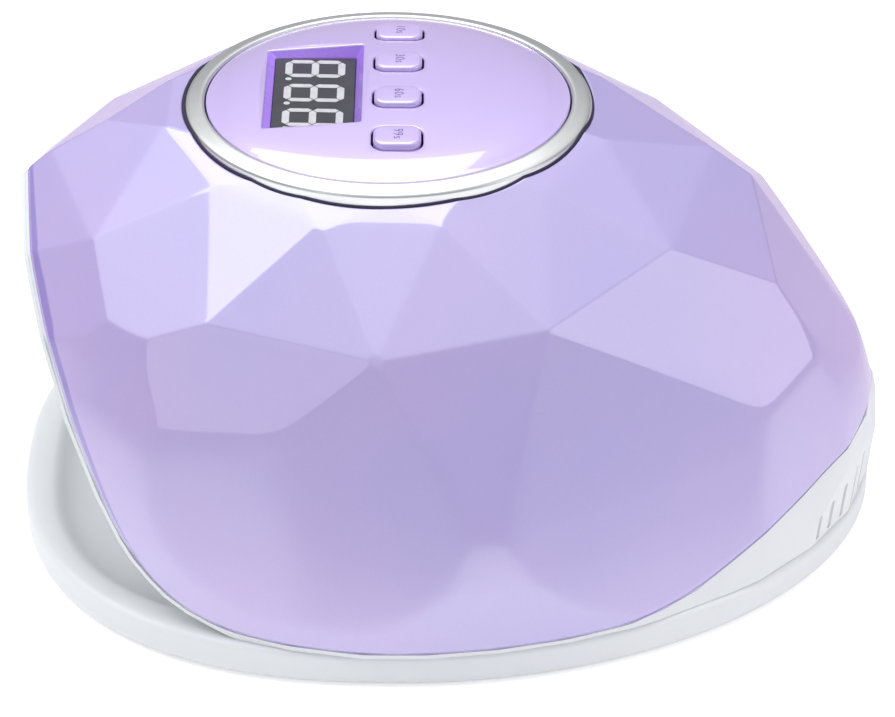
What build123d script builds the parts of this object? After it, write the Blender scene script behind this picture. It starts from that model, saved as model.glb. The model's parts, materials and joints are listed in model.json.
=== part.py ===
from build123d import *
from collections import namedtuple
import math
import os

# Nail-curing lamp: a faceted dome lamp head that lifts off a low egg-shaped base tray.
# Millimetres, +Z up. Origin: centre of the resting plane under the base tray.
# The hand opening faces -Y (front). +X is the right-hand side seen by the user.

os.makedirs("parts", exist_ok=True)

OVERLAP = 0.01          # small overrun that keeps booleans clean

# ---------------------------------------------------------------- dome dimensions
HEAD_HALF_W = 92.56     # half width of the dome
HEAD_REAR = 115.99      # length from the dome centre to the rear
HEAD_FRONT = 107.87     # length from the dome centre to the front
HEAD_Y = -12.08         # dome centre
PLAN_POWER_REAR, PLAN_POWER_FRONT = 1.891, 1.766
# Profile exponents: radius = (1 - height ** RISE) ** (1 / ROUND)
ROUND_REAR, RISE_REAR = 3.010, 1.364        # sides and rear
ROUND_FRONT, RISE_FRONT = 3.434, 2.003
APEX_Z = 108.68
WIDEST_Z = 26.25        # height of the widest line
SHELL_T = 2.4
LINER_GAP = 0.3         # gap between shell and liner lip
LINER_T = 2.0
LINER_BOTTOM = 9.05     # underside of the lamp head
RIM_INSET = 0.4         # liner rim face, in from the shell face
RIM_SHOW = 1.15         # how far the liner rim shows below the shell edge
RIM_FLAT_Y = -50        # behind this the liner rim runs flat at LINER_BOTTOM
EDGE_GAP = 0.15         # joint between shell edge and liner rim

# Tiers of tangent planes on the skirt: height, number of planes, first azimuth (degrees).
SKIRT_TIERS = [
    (10.0, 36, 0), (30.0, 36, 5), (44.0, 36, 0), (57.0, 36, 5), (70.0, 24, 0), (82.0, 24, 7.5),
]

# Facet planes of the dome: name, unit normal, distance from the origin. Each one with
# a sideways normal has a mirror twin.
FACETS = [
    ("collar_front", (0.0000, -0.0858, 0.9963), 109.54),
    ("collar_1", (0.2556, -0.2602, 0.9311), 117.24),
    ("collar_2", (0.5360, -0.2830, 0.7954), 114.79),
    ("collar_3", (0.6263, -0.0100, 0.7795), 109.99),
    ("collar_4", (0.5622, 0.2715, 0.7812), 106.44),
    ("collar_5", (0.3083, 0.3705, 0.8762), 108.65),
    ("upper_0", (0.3285, -0.4125, 0.8497), 119.54),
    ("upper_1", (0.6019, -0.3295, 0.7275), 112.69),
    ("upper_2", (0.6948, -0.0124, 0.7191), 107.52),
    ("upper_3", (0.5824, 0.2848, 0.7614), 105.49),
    ("upper_4", (0.3488, 0.4347, 0.8303), 106.95),
    ("upper_5", (0.0000, 0.3746, 0.9272), 108.99),
    ("upper_front", (0.0000, -0.3059, 0.9521), 119.21),
    ("mid_0", (0.5927, -0.3556, 0.7227), 113.21),
    ("mid_1", (0.7331, -0.2119, 0.6463), 107.91),
    ("mid_2", (0.7330, 0.1260, 0.6684), 104.25),
    ("mid_3", (0.5597, 0.3832, 0.7348), 104.11),
    ("mid_5", (0.2849, 0.5088, 0.8124), 106.78),
    ("mid_front", (0.2667, -0.4902, 0.8298), 121.88),
    ("brow_0", (0.2955, -0.6104, 0.7349), 124.43),
    ("brow_1", (0.5350, -0.6464, 0.5440), 119.14),
    ("low_1", (0.8703, -0.2722, 0.4105), 100.85),
    ("low_2", (0.9494, -0.1540, 0.2739), 94.29),
    ("low_3", (0.8795, 0.1780, 0.4413), 96.77),
    ("low_4", (0.6900, 0.5657, 0.4516), 94.04),
    ("low_5", (0.7961, 0.5185, 0.3119), 88.69),
    ("rear_1", (0.2971, 0.5807, 0.7580), 106.25),
    ("rear_2", (0.6949, 0.6668, 0.2692), 93.34),
    ("rear_3", (0.1457, 0.8221, 0.5504), 106.00),
    ("skirt_1", (0.9280, -0.2700, 0.2500), 94.95),
]

# Lower edge of the shell in side view (Y, Z), from the brow to the rear.
SHELL_EDGE = [
    (-101.3, 92.0), (-100.3, 87.4), (-99.2, 82.8), (-97.4, 76.9), (-95.3, 71.2), (-92.7, 65.0),
    (-89.9, 58.2), (-87.0, 50.9), (-83.3, 43.5), (-79.4, 35.7), (-74.8, 27.6), (-71.6, 23.5),
    (-68.0, 19.7), (-64.1, 16.5), (-59.5, 13.9), (-54.0, 12.0), (-48.0, 10.9), (-40.0, 10.4),
    (-25.0, 10.25), (0.0, 10.2), (25.0, 10.2), (40.0, 10.4), (50.0, 11.2), (57.4, 12.6),
    (65.9, 15.9), (74.6, 19.6), (83.5, 23.2), (89.5, 26.2), (96.1, 28.9), (99.7, 30.2),
    (108.0, 32.0),
]

# ---------------------------------------------------------------- ring, panel and board
RING_Y = -13.9          # centre of ring, panel and control board
RING_RI, RING_RO = 43.05, 47.8
RING_TOP = 105.9
HOLE_R = 48.25          # hole in the shell around the ring
LEDGE_Z0, LEDGE_Z1 = 98.9, 101.2
LEDGE_RI = 36.0
SEAT_Z = LEDGE_Z1 + 0.05            # underside of ring and panel
PANEL_R = 42.7
PCB_Z0, PCB_Z1 = 96.7, 98.3
PCB_R = 34.0
BUTTON_Y = RING_Y + 2.4
BUTTON_X = {"10s": -27.2, "30s": -9.1, "60s": 9.1, "99s": 27.2}
BUTTON_CAP = (9.0, 11.0)
WINDOW_Y = RING_Y - 17.4
DISPLAY_Z = 106.3       # display face

# ---------------------------------------------------------------- fixings (X, Y)
SHELL_POSTS = [(-80.0, 2.0), (80.0, 2.0), (-26.0, 86.0), (26.0, 86.0)]
SHELL_POST_Z = 13.5
WELL_TOP_Z = 13.4       # top of the screw wells, just under the shell posts
WELL_DEPTH = 2.35
MAGNETS = [(-79.6, -34.0), (79.6, -34.0), (-45.0, 70.0), (45.0, 70.0)]
MAGNET_R, MAGNET_POCKET_R, MAGNET_H = 4.0, 4.05, 2.0
PANEL_SCREW_CIRCLE_R = 39.2
PANEL_SCREWS = [
    (PANEL_SCREW_CIRCLE_R * math.cos(math.radians(a)),
     RING_Y + PANEL_SCREW_CIRCLE_R * math.sin(math.radians(a)))
    for a in (45, 135, 225, 315)
]
PCB_SCREWS = [
    (-26.0, RING_Y - 16), (26.0, RING_Y - 16), (-18.5, RING_Y + 25), (18.5, RING_Y + 25),
]
JACK_Z = 17.2           # axis of the power inlet


def save(part, name):
    part.label = name
    export_step(part, f"parts/{name}.step")


# ---------------------------------------------------------------- dome shape
def egg_radius(cos_a, sin_a, half_width, length, power):
    """Radius of a superellipse in the direction (cos_a, sin_a)."""
    return (abs(cos_a / half_width) ** power + abs(sin_a / length) ** power) ** (-1 / power)


def dome_scale(z, sin_a):
    """Relative dome radius at height z; sin_a is -1 towards the front, +1 to the rear."""
    if z <= WIDEST_Z:
        return 1 - 0.02 * ((WIDEST_Z - z) / WIDEST_Z) ** 2
    front_share = min(max(-sin_a, 0.0), 1.0) ** 2
    rounding = ROUND_REAR + (ROUND_FRONT - ROUND_REAR) * front_share
    rise = RISE_REAR + (RISE_FRONT - RISE_REAR) * front_share
    height = (z - WIDEST_Z) / (APEX_Z - WIDEST_Z)
    return max(1 - height ** rise, 1e-4) ** (1 / rounding)


def dome_point(z, azimuth):
    """Point on the smooth dome at height z and azimuth (radians, from the dome centre)."""
    cos_a, sin_a = math.cos(azimuth), math.sin(azimuth)
    if sin_a >= 0:
        length, power = HEAD_REAR, PLAN_POWER_REAR
    else:
        length, power = HEAD_FRONT, PLAN_POWER_FRONT
    r = egg_radius(cos_a, sin_a, HEAD_HALF_W, length, power) * dome_scale(z, sin_a)
    return Vector(r * cos_a, HEAD_Y + r * sin_a, z)


def skirt_planes():
    """Tangent planes that round off the skirt between and below the big facets."""
    planes = []
    step_a, step_z = 0.01, 0.2      # finite differences for the tangents
    for z, count, shift in SKIRT_TIERS:
        for i in range(count):
            a = math.radians(360 * i / count + shift)
            around = dome_point(z, a + step_a) - dome_point(z, a - step_a)
            upward = dome_point(z + step_z, a) - dome_point(z - step_z, a)
            normal = around.cross(upward).normalized()
            # the upper tiers stand off so that the big facets dominate there
            stand_off = 0.0 if z < 60 else 1.0
            planes.append((normal, normal.dot(dome_point(z, a)) + stand_off))
    return planes


def facet_planes():
    planes = []
    for _, (x, y, z), distance in FACETS:
        for side in ((1,) if x == 0 else (1, -1)):
            planes.append((Vector(side * x, y, z).normalized(), distance))
    return planes


HEAD_PLANES = skirt_planes() + facet_planes()


def head_form(inset):
    """The faceted dome as a closed convex solid, every plane moved in by inset."""
    with BuildPart() as form:
        with BuildSketch(Plane.XY.offset(4)):
            Rectangle(240, 280)
        extrude(amount=110)
        for normal, distance in HEAD_PLANES:
            reach = max(normal.dot(Vector(*v)) for v in form.vertices())
            # planes that miss the solid are skipped
            if reach > distance - inset + 0.01:
                cut = Plane(origin=normal * (distance - inset), z_dir=normal)
                split(bisect_by=cut, keep=Keep.BOTTOM)
    return form.part


# ---------------------------------------------------------------- side-view edges and regions
REGION_HALF_W = 120.0
REGION_FAR = 125        # reach of the open regions in Y and Z


def offset_edge(points, distance):
    """Side-view edge moved towards the inside of the head (negative: outwards and down)."""
    out = []
    for i, (y, z) in enumerate(points):
        y0, z0 = points[max(i - 1, 0)]
        y1, z1 = points[min(i + 1, len(points) - 1)]
        dy, dz = y1 - y0, z1 - z0
        length = math.hypot(dy, dz)
        out.append((y - dz / length * distance, z + dy / length * distance))
    return out


def rim_edge():
    """Lower edge of the liner rim, with points that crowd or fold back dropped."""
    points = []
    for (y, z), (shell_y, _) in zip(offset_edge(SHELL_EDGE, -RIM_SHOW), SHELL_EDGE):
        points.append((y, LINER_BOTTOM if shell_y >= RIM_FLAT_Y else max(z, LINER_BOTTOM)))
    return [p for i, p in enumerate(points) if i == 0 or p[0] > points[i - 1][0] + 0.3]


def region_between(lower, upper):
    """Region between two side-view edges, across the whole width."""
    with BuildPart() as region:
        with BuildSketch(Plane.YZ):
            with BuildLine():
                low = Polyline(*lower)
                high = Polyline(*upper)
                Line(low @ 0, high @ 0)
                Line(low @ 1, high @ 1)
            make_face()
        extrude(amount=REGION_HALF_W, both=True)
    return region.part


def region_above(lower):
    """Everything above a side-view edge, across the whole width."""
    far = REGION_FAR
    with BuildPart() as region:
        with BuildSketch(Plane.YZ):
            with BuildLine():
                Polyline(*lower, (far, lower[-1][1]), (far, far), (-far, far),
                         (-far, lower[0][1]), lower[0])
            make_face()
        extrude(amount=REGION_HALF_W, both=True)
    return region.part


RIM_EDGE = rim_edge()
form_rim = head_form(RIM_INSET)
form_lip_out = head_form(SHELL_T + LINER_GAP)
form_lip_in = head_form(SHELL_T + LINER_GAP + LINER_T)
above_rim = region_above(RIM_EDGE)
above_bezel = region_above(offset_edge(RIM_EDGE, LINER_T))


# ---------------------------------------------------------------- top shell
COLLAR_T, COLLAR_H = 2.2, 8


def shell_skin():
    with BuildPart() as skin:
        add(head_form(0.0))
        add(head_form(SHELL_T), mode=Mode.SUBTRACT)
        with BuildSketch(Plane.XY.offset(90)):
            with Locations((0, RING_Y)):
                Circle(HOLE_R)
        extrude(amount=30, mode=Mode.SUBTRACT)
    return skin.part


def shell_inside():
    """Seat ledge and collar under the ring, and the four screw posts."""
    with BuildPart() as inside:
        with BuildSketch(Plane.XY.offset(LEDGE_Z0)):
            with Locations((0, RING_Y)):
                Circle(HOLE_R + COLLAR_T)
                Circle(LEDGE_RI, mode=Mode.SUBTRACT)
        extrude(amount=LEDGE_Z1 - LEDGE_Z0)
        with BuildSketch(Plane.XY.offset(LEDGE_Z0)):
            with Locations((0, RING_Y)):
                Circle(HOLE_R + COLLAR_T)
                Circle(HOLE_R, mode=Mode.SUBTRACT)
        extrude(amount=COLLAR_H)
        # screw holes in the ledge
        with BuildSketch(Plane.XY.offset(LEDGE_Z0 - OVERLAP)):
            with Locations(*PANEL_SCREWS):
                Circle(1.4)
        extrude(amount=LEDGE_Z1 - LEDGE_Z0 + 2 * OVERLAP, mode=Mode.SUBTRACT)
        with BuildSketch(Plane.XY.offset(SHELL_POST_Z)):
            with Locations(*SHELL_POSTS):
                Circle(3.6)
        extrude(amount=90)
        add(form_rim, mode=Mode.INTERSECT)
    return inside.part


def top_shell():
    with BuildPart() as shell:
        add(shell_skin())
        add(shell_inside())
        add(region_above(SHELL_EDGE), mode=Mode.INTERSECT)
        # screw bores in the posts
        with BuildSketch(Plane.XY.offset(SHELL_POST_Z - 0.1)):
            with Locations(*SHELL_POSTS):
                Circle(1.55)
        extrude(amount=12, mode=Mode.SUBTRACT)
    return shell.part


save(top_shell(), "top_shell")

# ---------------------------------------------------------------- hand cavity
# Half widths and heights of the arch section: foot, shoulder and ceiling.
CAVITY_FOOT_W = 68.0
CAVITY_SHOULDER_W, CAVITY_SHOULDER_Z = 64.0, 28.0
CAVITY_TOP_W, CAVITY_TOP_Z = 34.0, 62.0
CAVITY_REAR_Y = 64.0
CAVITY_FRONT_Y = -125.0         # clear of the head
CORNER_TRIM = 0.999             # holds grown corners just inside the true offset

# Outward normal of the sloping side panels (its X is for the right-hand side).
SLOPE = math.hypot(CAVITY_SHOULDER_W - CAVITY_TOP_W, CAVITY_TOP_Z - CAVITY_SHOULDER_Z)
SLOPE_NX = (CAVITY_TOP_Z - CAVITY_SHOULDER_Z) / SLOPE
SLOPE_NZ = (CAVITY_SHOULDER_W - CAVITY_TOP_W) / SLOPE


def mirrored(half):
    """Closed outline from its right-hand half, which runs up to the centre line."""
    left = [(-x, y) for x, y in half]
    return left + half[::-1] + left[:1]


def cavity_form(grow):
    """The hand cavity grown outwards: a shouldered arch along Y, narrowing to the rear."""
    shoulder_z = CAVITY_SHOULDER_Z + (grow - SLOPE_NX * grow) / SLOPE_NZ * CORNER_TRIM
    top_w = CAVITY_TOP_W + (grow - SLOPE_NZ * grow) / SLOPE_NX * CORNER_TRIM
    section = [
        (CAVITY_FOOT_W + grow, 0),
        (CAVITY_SHOULDER_W + grow, shoulder_z),
        (top_w, CAVITY_TOP_Z + grow),
    ]
    plan = [
        (CAVITY_FOOT_W + 2 * grow + 2, CAVITY_FRONT_Y),
        (CAVITY_FOOT_W + grow + 0.5, 10),
        (48 + grow, 50 + 0.45 * grow),
        (28 + 0.55 * grow, CAVITY_REAR_Y + grow),
    ]
    with BuildPart() as cavity:
        with BuildSketch(Plane.XZ.offset(-(CAVITY_REAR_Y + grow))):
            with BuildLine():
                Polyline(*mirrored(section))
            make_face()
        extrude(amount=CAVITY_REAR_Y + grow - CAVITY_FRONT_Y)
        with BuildSketch(Plane.XY):
            with BuildLine():
                Polyline(*mirrored(plan))
            make_face()
        extrude(amount=120, mode=Mode.INTERSECT)
    return cavity.part


# ---------------------------------------------------------------- light board layout
BOARD_GAP = 1.5                         # between liner and board
BOARD_FRONT = LINER_T + BOARD_GAP       # board face on the cavity side
BOARD_T = 1.6
BOARD_BACK = BOARD_FRONT + BOARD_T
BOARD_HOLE_R = 1.3                      # screw clearance in all boards


def slope_plane(side):
    """Plane of a sloping side panel; side is +1 for +X, -1 for -X."""
    x = side * (CAVITY_SHOULDER_W + CAVITY_TOP_W) / 2
    z = (CAVITY_TOP_Z + CAVITY_SHOULDER_Z) / 2
    return Plane(origin=(x, -22, z), x_dir=(0, 1, 0), z_dir=(side * SLOPE_NX, 0, SLOPE_NZ))


# Panel planes: local z points out of the cavity; local z = 0 is the cavity surface.
CEILING = Plane(origin=(0, -10, CAVITY_TOP_Z), x_dir=(1, 0, 0), z_dir=(0, 0, 1))
REAR_WALL = Plane(origin=(0, CAVITY_REAR_Y, 36), x_dir=(-1, 0, 0), z_dir=(0, 1, 0))

# size, centre, beads and screws are in the plane's local x and y.
LightBoard = namedtuple("LightBoard", "plane size centre beads screws")
SIDE_LAYOUT = dict(
    size=(96.0, 28.0),
    centre=(0.0, 0.0),
    beads=[(x, y) for x in (-40, -20, 0, 20, 40) for y in (-8.5, 8.5)],
    screws=[(-30, 0), (30, 0)],
)
BOARDS = {
    "top": LightBoard(
        plane=CEILING,
        size=(60.0, 112.0),
        centre=(0.0, -10.0),
        beads=[(x, y) for y in (-36, 0, 36) for x in (-24, -12, 0, 12, 24)],
        screws=[(-18, -18), (18, -18), (-18, 18), (18, 18)],
    ),
    "right": LightBoard(plane=slope_plane(1), **SIDE_LAYOUT),
    "left": LightBoard(plane=slope_plane(-1), **SIDE_LAYOUT),
    "rear": LightBoard(
        plane=REAR_WALL,
        size=(56.0, 20.0),
        centre=(0.0, 0.0),
        beads=[(x, 0) for x in (-20, -7, 7, 20)],
        screws=[(-13.5, 0), (13.5, 0)],
    ),
}
IR_POSITIONS = {"ir_emitter": (-6.0, -60.0), "ir_receiver": (6.0, -60.0)}

# ---------------------------------------------------------------- liner (inner housing)
# Rear vent slots, mirrored: X, height of the upper end.
VENTS = [(20.2, 20.0), (26.7, 20.0), (32.4, 18.2), (37.6, 16.8), (42.6, 15.6)]
VENT_BOTTOM, VENT_W = 10.6, 1.4
REAR_CUT_Y = 112        # start of the cuts made forwards from behind the head
CUT_BELOW = 0.5         # how far cuts start below the liner


def liner_rim():
    """Band that shows below the shell edge."""
    with BuildPart() as rim:
        add(form_rim)
        add(above_rim, mode=Mode.INTERSECT)
        add(region_above(offset_edge(SHELL_EDGE, -EDGE_GAP)), mode=Mode.SUBTRACT)
        add(form_lip_in & above_bezel, mode=Mode.SUBTRACT)
    return rim.part


def liner_lip():
    """Lip that stands up inside the shell edge."""
    with BuildPart() as lip:
        add(form_lip_out)
        add(form_lip_in, mode=Mode.SUBTRACT)
        band = region_between(offset_edge(SHELL_EDGE, -0.6), offset_edge(SHELL_EDGE, 8.0))
        add(band, mode=Mode.INTERSECT)
        add(above_rim, mode=Mode.INTERSECT)
    return lip.part


def liner_bezel():
    """Wall that follows the rim edge across the head, round the opening and underneath."""
    with BuildPart() as bezel:
        add(form_lip_out)
        add(above_rim, mode=Mode.INTERSECT)
        add(above_bezel, mode=Mode.SUBTRACT)
    return bezel.part


def liner_cavity():
    """Outer form of the cavity walls, still solid."""
    with BuildPart() as cavity:
        add(cavity_form(LINER_T))
        add(above_rim, mode=Mode.INTERSECT)
        add(form_lip_out, mode=Mode.INTERSECT)
    return cavity.part


def liner_bosses():
    """Magnet bosses and screw wells on the flange."""
    with BuildPart() as bosses:
        with BuildSketch(Plane.XY.offset(LINER_BOTTOM)):
            with Locations(*MAGNETS):
                Circle(5.3)
        extrude(amount=4.2)
        with BuildSketch(Plane.XY.offset(LINER_BOTTOM)):
            with Locations(*SHELL_POSTS):
                Circle(5.0)
        extrude(amount=WELL_TOP_Z - LINER_BOTTOM)
        add(form_lip_out, mode=Mode.INTERSECT)
    return bosses.part


def inner_housing():
    with BuildPart() as housing:
        add(liner_rim())
        add(liner_lip())
        add(liner_bezel())
        add(liner_cavity())
        add(liner_bosses())
        # posts that carry the light boards
        for board in BOARDS.values():
            with BuildSketch(board.plane.offset(LINER_T - 0.3)):
                with Locations(*board.screws):
                    Circle(2.7)
            extrude(amount=BOARD_GAP + 0.25)
        add(cavity_form(0.0), mode=Mode.SUBTRACT)
        # magnet pockets, then screw head wells and their through holes
        with BuildSketch(Plane.XY.offset(LINER_BOTTOM - CUT_BELOW)):
            with Locations(*MAGNETS):
                Circle(MAGNET_POCKET_R)
        extrude(amount=CUT_BELOW + 2.3, mode=Mode.SUBTRACT)
        with BuildSketch(Plane.XY.offset(LINER_BOTTOM - CUT_BELOW)):
            with Locations(*SHELL_POSTS):
                Circle(3.3)
        extrude(amount=CUT_BELOW + WELL_DEPTH, mode=Mode.SUBTRACT)
        with BuildSketch(Plane.XY.offset(LINER_BOTTOM)):
            with Locations(*SHELL_POSTS):
                Circle(1.7)
        extrude(amount=6, mode=Mode.SUBTRACT)
        # bead holes and blind screw holes of the light boards
        for board in BOARDS.values():
            with BuildSketch(board.plane.offset(-1)):
                with Locations(*board.beads):
                    Circle(2.75)
            extrude(amount=LINER_T + 2, mode=Mode.SUBTRACT)
            with BuildSketch(board.plane.offset(0.7)):
                with Locations(*board.screws):
                    Circle(1.1)
            extrude(amount=4, mode=Mode.SUBTRACT)
        # hand sensor holes
        with BuildSketch(CEILING.offset(-1)):
            with Locations(*IR_POSITIONS.values()):
                Circle(1.75)
        extrude(amount=LINER_T + 2, mode=Mode.SUBTRACT)
        # rear vents and the power inlet hole
        for x, top in VENTS:
            for side in (-1, 1):
                with BuildSketch(Plane.XZ.offset(-REAR_CUT_Y)):
                    with Locations((side * x, (top + VENT_BOTTOM) / 2)):
                        SlotOverall(top - VENT_BOTTOM + VENT_W, VENT_W, rotation=90)
                extrude(amount=34, mode=Mode.SUBTRACT)
        with BuildSketch(Plane.XZ.offset(-REAR_CUT_Y)):
            with Locations((0, JACK_Z)):
                Circle(5.0)
        extrude(amount=18, mode=Mode.SUBTRACT)
    return housing.part


save(inner_housing(), "inner_housing")

# ---------------------------------------------------------------- base tray, feet, magnets
TRAY_TOP = 9.0
TRAY_MAGNET_Z = TRAY_TOP - 2.15
TRAY_PLAN = dict(half_width=90.3, centre_y=-9.5, front=93.6, back=112.7,
                 front_power=2.4, back_power=1.93)
DISH_PLAN = dict(half_width=78.0, centre_y=-20.0, front=76.3, back=82.0,
                 front_power=2.6, back_power=2.4)
# Loft stations: height, inset of the plan outline.
TRAY_STATIONS = [(0.6, 1.6), (1.6, 0.55), (3.0, 0.0), (7.4, 0.0), (8.5, 0.5), (TRAY_TOP, 1.6)]
DISH_STATIONS = [(4.8, 11.0), (5.6, 6.0), (7.4, 2.2), (TRAY_TOP + 0.02, 0.0)]
FEET = [(-62.0, -52.0), (62.0, -52.0), (-70.0, 16.0), (70.0, 16.0), (-34.0, 76.0), (34.0, 76.0)]


def egg_outline(half_width, centre_y, front, back, front_power, back_power, inset):
    points = []
    count = 44
    for i in range(count):
        a = math.pi / 2 + 2 * math.pi * i / count
        cos_a, sin_a = math.cos(a), math.sin(a)
        length, power = (back, back_power) if sin_a >= 0 else (front, front_power)
        r = egg_radius(cos_a, sin_a, half_width - inset, length - inset, power)
        points.append((r * cos_a, centre_y + r * sin_a))
    return points


def base_tray():
    with BuildPart() as tray:
        for z, inset in TRAY_STATIONS:
            with BuildSketch(Plane.XY.offset(z)):
                with BuildLine():
                    Spline(*egg_outline(**TRAY_PLAN, inset=inset), periodic=True)
                make_face()
        loft(ruled=True)
        # dished floor that slopes in from the rim
        for z, inset in DISH_STATIONS:
            with BuildSketch(Plane.XY.offset(z)):
                with BuildLine():
                    Spline(*egg_outline(**DISH_PLAN, inset=inset), periodic=True)
                make_face()
        loft(ruled=True, mode=Mode.SUBTRACT)
        # hollow underside
        with BuildSketch(Plane.XY.offset(0)):
            with BuildLine():
                Spline(*egg_outline(**TRAY_PLAN, inset=4.2), periodic=True)
            make_face()
        extrude(amount=2.6, mode=Mode.SUBTRACT)
        # magnet pockets
        with BuildSketch(Plane.XY.offset(TRAY_MAGNET_Z)):
            with Locations(*MAGNETS):
                Circle(MAGNET_POCKET_R)
        extrude(amount=3, mode=Mode.SUBTRACT)
    return tray.part


def tray_feet():
    with BuildPart() as feet:
        with BuildSketch(Plane.XY):
            with Locations(*FEET):
                Circle(6.0)
        extrude(amount=2.6)
        chamfer(feet.edges().group_by(Axis.Z)[0], 0.5)
    return feet.part


def magnet_set(z):
    with BuildPart() as magnets:
        with BuildSketch(Plane.XY.offset(z)):
            with Locations(*MAGNETS):
                Circle(MAGNET_R)
        extrude(amount=MAGNET_H)
    return magnets.part


save(base_tray(), "base_tray")
save(tray_feet(), "tray_feet")
save(magnet_set(TRAY_MAGNET_Z), "tray_magnets")
save(magnet_set(LINER_BOTTOM + 0.2), "head_magnets")

# ---------------------------------------------------------------- trim ring and control panel
# Profiles are radius, Z.
RING_PROFILE = [
    (RING_RI, SEAT_Z), (RING_RO, SEAT_Z), (RING_RO, 103.2), (RING_RO - 0.55, 104.5),
    (RING_RO - 1.3, 105.15), (RING_RI + 1.2, RING_TOP), (RING_RI + 0.45, RING_TOP - 0.05),
    (RING_RI, RING_TOP - 0.6), (RING_RI, SEAT_Z),
]
PANEL_PROFILE = [
    (0, 110.2), (10, 110.08), (20, 109.6), (28, 108.85), (34, 107.95), (38.5, 107.0),
    (41.2, 106.15), (PANEL_R, 105.35),
]
PANEL_SKIRT_RI = PANEL_R - 2.1
PANEL_UNDERSIDE = [
    (PANEL_SKIRT_RI, 103.5), (36.5, 105.2), (28, 106.6), (20, 107.4), (10, 107.9), (0, 108.0),
]
PANEL_T = 2.2           # panel thickness allowed for above the button flanges
WINDOW_TOP_W, WINDOW_TOP_D = 40.0, 22.6
WINDOW_FLOOR_W, WINDOW_FLOOR_D = 37.9, 19.3
WINDOW_CUT_Z = 102.0    # start of the window and button cuts


def trim_ring():
    with BuildPart() as ring:
        with BuildSketch(Plane.XZ):
            with BuildLine():
                Polyline(*RING_PROFILE)
            make_face()
        revolve(axis=Axis.Z)
    return ring.part.moved(Location((0, RING_Y, 0)))


def panel_disc():
    with BuildPart() as disc:
        with BuildSketch(Plane.XZ):
            with BuildLine():
                Spline(*PANEL_PROFILE, tangents=((1, 0), (0.75, -0.66)))
                Polyline(PANEL_PROFILE[-1], (PANEL_R, SEAT_Z), (PANEL_SKIRT_RI, SEAT_Z),
                         PANEL_UNDERSIDE[0])
                Spline(*PANEL_UNDERSIDE)
                Line(PANEL_UNDERSIDE[-1], PANEL_PROFILE[0])
            make_face()
        revolve(axis=Axis.Z)
    return disc.part.moved(Location((0, RING_Y, 0)))


def control_panel():
    with BuildPart() as panel:
        add(panel_disc())
        # display well, then bosses for the board screws and the panel screws
        with BuildSketch(Plane.XY.offset(103.0)):
            with Locations((0, WINDOW_Y)):
                RectangleRounded(WINDOW_TOP_W + 2, WINDOW_TOP_D + 2, 1.5)
        extrude(amount=5.2)
        with BuildSketch(Plane.XY.offset(PCB_Z1 + 0.05)):
            with Locations(*PCB_SCREWS):
                Circle(2.7)
        extrude(amount=7.9)
        with BuildSketch(Plane.XY.offset(SEAT_Z)):
            with Locations(*PANEL_SCREWS):
                Circle(2.9)
        extrude(amount=4.0)
        # tapered window down to the display face
        with BuildSketch(Plane.XY.offset(DISPLAY_Z)):
            with Locations((0, WINDOW_Y)):
                RectangleRounded(WINDOW_FLOOR_W, WINDOW_FLOOR_D, 0.5)
        with BuildSketch(Plane.XY.offset(110.6)):
            with Locations((0, WINDOW_Y)):
                RectangleRounded(WINDOW_TOP_W + 0.4, WINDOW_TOP_D + 0.4, 1.0)
        loft(mode=Mode.SUBTRACT)
        # straight opening for the display below it
        with BuildSketch(Plane.XY.offset(WINDOW_CUT_Z)):
            with Locations((0, WINDOW_Y)):
                RectangleRounded(WINDOW_FLOOR_W, WINDOW_FLOOR_D, 0.5)
        extrude(amount=DISPLAY_Z - WINDOW_CUT_Z + OVERLAP, mode=Mode.SUBTRACT)
        # button openings
        for x in BUTTON_X.values():
            with BuildSketch(Plane.XY.offset(WINDOW_CUT_Z)):
                with Locations((x, BUTTON_Y)):
                    RectangleRounded(BUTTON_CAP[0] + 0.9, BUTTON_CAP[1] + 0.9, 3.3)
            extrude(amount=12, mode=Mode.SUBTRACT)
        # blind screw holes
        with BuildSketch(Plane.XY.offset(PCB_Z1)):
            with Locations(*PCB_SCREWS):
                Circle(1.1)
        extrude(amount=5.0, mode=Mode.SUBTRACT)
        with BuildSketch(Plane.XY.offset(LEDGE_Z1)):
            with Locations(*PANEL_SCREWS):
                Circle(1.1)
        extrude(amount=3.4, mode=Mode.SUBTRACT)
    return panel.part


save(trim_ring(), "trim_ring")
save(control_panel(), "control_panel")

# ---------------------------------------------------------------- buttons and switches
STEM_Z0, STEM_Z1 = PCB_Z1 + 2.3, PCB_Z1 + 4.5
FLANGE_T = 0.8


def panel_top(radius):
    """Height of the panel's top face at a radius inside PANEL_R."""
    for (r0, z0), (r1, z1) in zip(PANEL_PROFILE, PANEL_PROFILE[1:]):
        if radius <= r1:
            return z0 + (z1 - z0) * (radius - r0) / (r1 - r0)


def button(x):
    radius = math.hypot(x, BUTTON_Y - RING_Y)
    top = panel_top(radius) + 1.05
    flange_top = panel_top(radius + 7.5) - PANEL_T - 0.55
    with BuildPart() as cap:
        with BuildSketch(Plane.XY.offset(flange_top - OVERLAP)):
            with Locations((x, BUTTON_Y)):
                RectangleRounded(BUTTON_CAP[0], BUTTON_CAP[1], 3.0)
        extrude(amount=top - flange_top + OVERLAP)
        fillet(cap.edges().group_by(Axis.Z)[-1], 0.75)
        # flange under the panel
        with BuildSketch(Plane.XY.offset(flange_top - FLANGE_T)):
            with Locations((x, BUTTON_Y)):
                RectangleRounded(BUTTON_CAP[0] + 2.2, BUTTON_CAP[1] + 2.2, 3.6)
        extrude(amount=FLANGE_T)
        # plunger down to the switch stem
        with BuildSketch(Plane.XY.offset(STEM_Z1 + 0.05)):
            with Locations((x, BUTTON_Y)):
                Circle(2.0)
        extrude(amount=flange_top - FLANGE_T - STEM_Z1)
    return cap.part


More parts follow.
